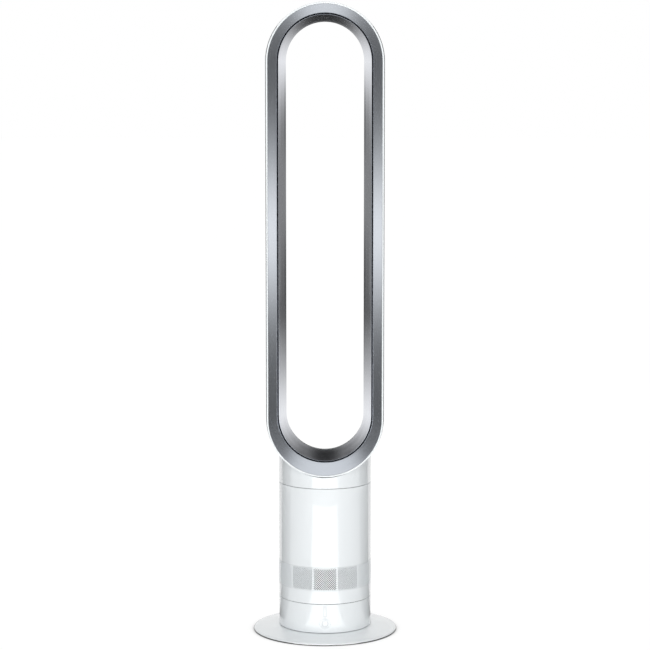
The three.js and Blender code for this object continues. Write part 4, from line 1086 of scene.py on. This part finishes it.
def floor_finish():
    """Pale floor that reads white and still takes the fan's shadow, with a painted contact shadow
    from ambient occlusion that darkens its colour and its glow round the foot.
    """
    f = Finish("studio_floor")
    # Painted contact shadow: ambient occlusion darkens the floor round the foot
    painted_shadow_ao = f.node(
        "ShaderNodeAmbientOcclusion",
        {"samples": 16},
        {"Distance": CONTACT_REACH * MM},
        output="AO",
    )
    clear_of_painted_shadow = painted_shadow_ao * painted_shadow_ao
    pale = f.blend(f.noise(3), (0.93, 0.93, 0.93), (0.95, 0.95, 0.95))
    # The floor's colour goes near-black where the painted contact shadow is deep
    tone = f.blend(clear_of_painted_shadow, (0.03, 0.03, 0.03), pale)
    matt = f.node("ShaderNodeBsdfDiffuse", {}, {"Color": tone})
    lit = f.node("ShaderNodeEmission", {}, {"Color": (1, 1, 1, 1), "Strength": FLOOR_STRENGTH})
    rays = [
        f.node("ShaderNodeLightPath", output=f"Is {ray} Ray")
        for ray in ("Camera", "Glossy", "Transmission")
    ]
    # The floor's glow also fades under the painted contact shadow
    seen = (rays[0] + rays[1] + rays[2]) * FLOOR_LIT_SHARE * clear_of_painted_shadow
    mixed = f.node("ShaderNodeMixShader", {}, {0: seen, 1: matt, 2: lit})
    f.node("ShaderNodeOutputMaterial", {}, {"Surface": mixed})
    return f.material


def hump(f, *parts, steep=False):
    """A soft bump of height 1: each part is a signal, its middle and its spread."""
    total = None
    for signal, middle, spread in parts:
        away = (signal - middle * MM) / (spread * MM)
        total = away * away if total is None else total + away * away
    if steep:
        total = total * total
    return f.node("ShaderNodeMath", {"operation": "EXPONENT"}, {0: total * -1.0})


def glow_finish(name, level_of):
    """A see-through card that adds light by place, as level_of works it out."""
    f = Finish(name)
    x = f.node("ShaderNodeMath", {"operation": "ABSOLUTE"}, {0: f.axis("X")})
    level = level_of(f, x, f.axis("Z"))
    tone = f.blend(level * 0.5, (0, 0, 0), (1, 1, 1))
    glow = f.node("ShaderNodeEmission", {}, {"Color": tone, "Strength": 2.0})
    clear = f.node("ShaderNodeBsdfTransparent", {}, {"Color": (1, 1, 1, 1)})
    both = f.node("ShaderNodeAddShader", {}, {0: glow, 1: clear})
    f.node("ShaderNodeOutputMaterial", {}, {"Surface": both})
    return f.material


def front_ring_glow(f, x, z):
    """Brightest halfway up the sides and at the middle of the top arc."""
    sides = 0.118 + hump(f, (z, 618, 140)) * 0.94
    low_flanks = 1 - hump(f, (x, 208, 26), (z, 425, 75)) * 0.6
    return sides * low_flanks + hump(f, (x, 0, 80), (z, 778, 62), steep=True) * 0.5


def inner_ring_glow(f, x, z):
    """Brightest where the sides run into the arcs, and dark at the middle of both arcs."""
    sides = 0.28 + hump(f, (z, 930, 92)) * 0.87 + hump(f, (z, 290, 92)) * 0.88
    crown = 1 - hump(f, (x, 0, 80), (z, 812, 84), steep=True) * 0.99
    trough = 1 - hump(f, (x, 0, 93), (z, 528, 112), steep=True) * 0.99
    flanks = 1 - hump(f, (x, 118, 28), (z, 482, 34)) * 0.65
    return sides * crown * trough * flanks


def plain_glow(name, level, strength):
    f = Finish(name)
    tone = f.blend(f.noise(2), (level, level, level), (level * 0.99, level * 0.99, level * 0.99))
    glow = f.node("ShaderNodeEmission", {}, {"Color": tone, "Strength": strength})
    f.node("ShaderNodeOutputMaterial", {}, {"Surface": glow})
    return f.material


def card(name, corners, finish, only=()):
    """A studio card that shows only in reflections, or only in those on the pieces named."""
    sheet = draw_outline(name, corners)
    start_edit(sheet)
    bpy.ops.mesh.select_all(action="SELECT")
    bpy.ops.mesh.edge_face_add()
    end_edit()
    sheet.data.materials.append(finish)
    finish.cycles.emission_sampling = "NONE"
    sheet.visible_camera = False
    sheet.visible_diffuse = False
    sheet.visible_shadow = False
    sheet.visible_transmission = False
    if only:
        group = bpy.data.collections.new(f"{name}_lights")
        for piece in only:
            group.objects.link(bpy.data.objects[piece])
        sheet.light_linking.receiver_collection = group


def upright(half_width, low, high, y):
    return [
        (-half_width, y, low),
        (half_width, y, low),
        (half_width, y, high),
        (-half_width, y, high),
    ]


def floor_sector(start, stop):
    """Corners of a patch on the floor between two directions, in degrees from the front."""
    near, far = FOOT_RADIUS + 2, FLOOR_CARD_FAR
    corners = []
    for angle, away in [(start, near), (stop, near), (stop, far), (start, far)]:
        turn = math.radians(angle)
        offset = WEDGE_EXTRA if abs(angle) < 90 else 0
        x = away * math.sin(turn) + math.copysign(offset, turn)
        corners.append((x, -away * math.cos(turn), FLOOR_CARD_LIFT))
    return corners


def lamp(name, place, target, width, height, power):
    """A softbox that only lights, with its place, target and size in metres."""
    light = bpy.data.lights.new(name, "AREA")
    light.shape = "RECTANGLE"
    light.size, light.size_y = width, height
    light.energy = power
    holder = bpy.data.objects.new(name, light)
    bpy.context.scene.collection.objects.link(holder)
    holder.location = place
    holder.rotation_euler = (Vector(target) - Vector(place)).to_track_quat("-Z", "Y").to_euler()
    holder.visible_camera = False
    holder.visible_glossy = False


def studio():
    world_light()
    deselect_all()
    bpy.ops.mesh.primitive_plane_add(size=40, location=(0, 0, 0))
    floor = bpy.context.active_object
    floor.name = "studio_floor"
    floor.data.materials.append(floor_finish())
    lamp("front_softbox", (0, -2.6, 0.9), (0, 0, 0.4), 1.4, 1.8, 38)
    lamp("top_softbox", (0, -0.6, 2.6), (0, 0, 0.3), 2.0, 2.0, 10)
    lamp("rear_softbox", (0, 2.6, 1.1), (0, 0, 0.5), 1.6, 1.6, 20)
    wedge = floor_sector(-WEDGE_ANGLE, WEDGE_ANGLE)
    card("floor_card", wedge, plain_glow("floor_glow", 1.0, 3.4))
    shade = plain_glow("side_shade", 0.15, 1.0)
    for side, start, stop in [("right", 94, 134), ("left", -134, -94)]:
        card(f"side_card_{side}", floor_sector(start, stop), shade)
    backing = upright(CARD_HALF, CARD_LOW, CARD_HIGH, GLOW_Y + 6)
    card("dark_card", backing, plain_glow("dark_backing", 0.015, 1.0))
    card(
        "front_ring_card",
        upright(CARD_HALF, CARD_LOW, CARD_HIGH, GLOW_Y + 3),
        glow_finish("front_ring_light", front_ring_glow),
        ["loop_front_ring"],
    )
    card(
        "inner_ring_card",
        upright(CARD_HALF, CARD_LOW, CARD_HIGH, GLOW_Y),
        glow_finish("inner_ring_light", inner_ring_glow),
        ["loop_inner_ring"],
    )


def photo_camera():
    """The photograph's viewpoint, a little above the middle and far off."""
    lens = bpy.data.cameras.new("photo_camera")
    lens.lens = CAMERA_LENS
    lens.sensor_width = CAMERA_SENSOR
    holder = bpy.data.objects.new("photo_camera", lens)
    bpy.context.scene.collection.objects.link(holder)
    holder.location = CAMERA_PLACE
    holder.rotation_euler = (math.radians(90 - CAMERA_DOWN), 0, 0)
    bpy.context.scene.camera = holder


# ---------- assembly ----------

bpy.context.scene.view_settings.view_transform = "Standard"
photo_camera()
finish_cad_nodes()
foot_plate()
pad_ring()
control_casing()
plain_casings()
power_button()
power_symbol()
display_window()
inlet_grille()
rear_shell()
front_ring()
inner_ring()
neck()
studio()
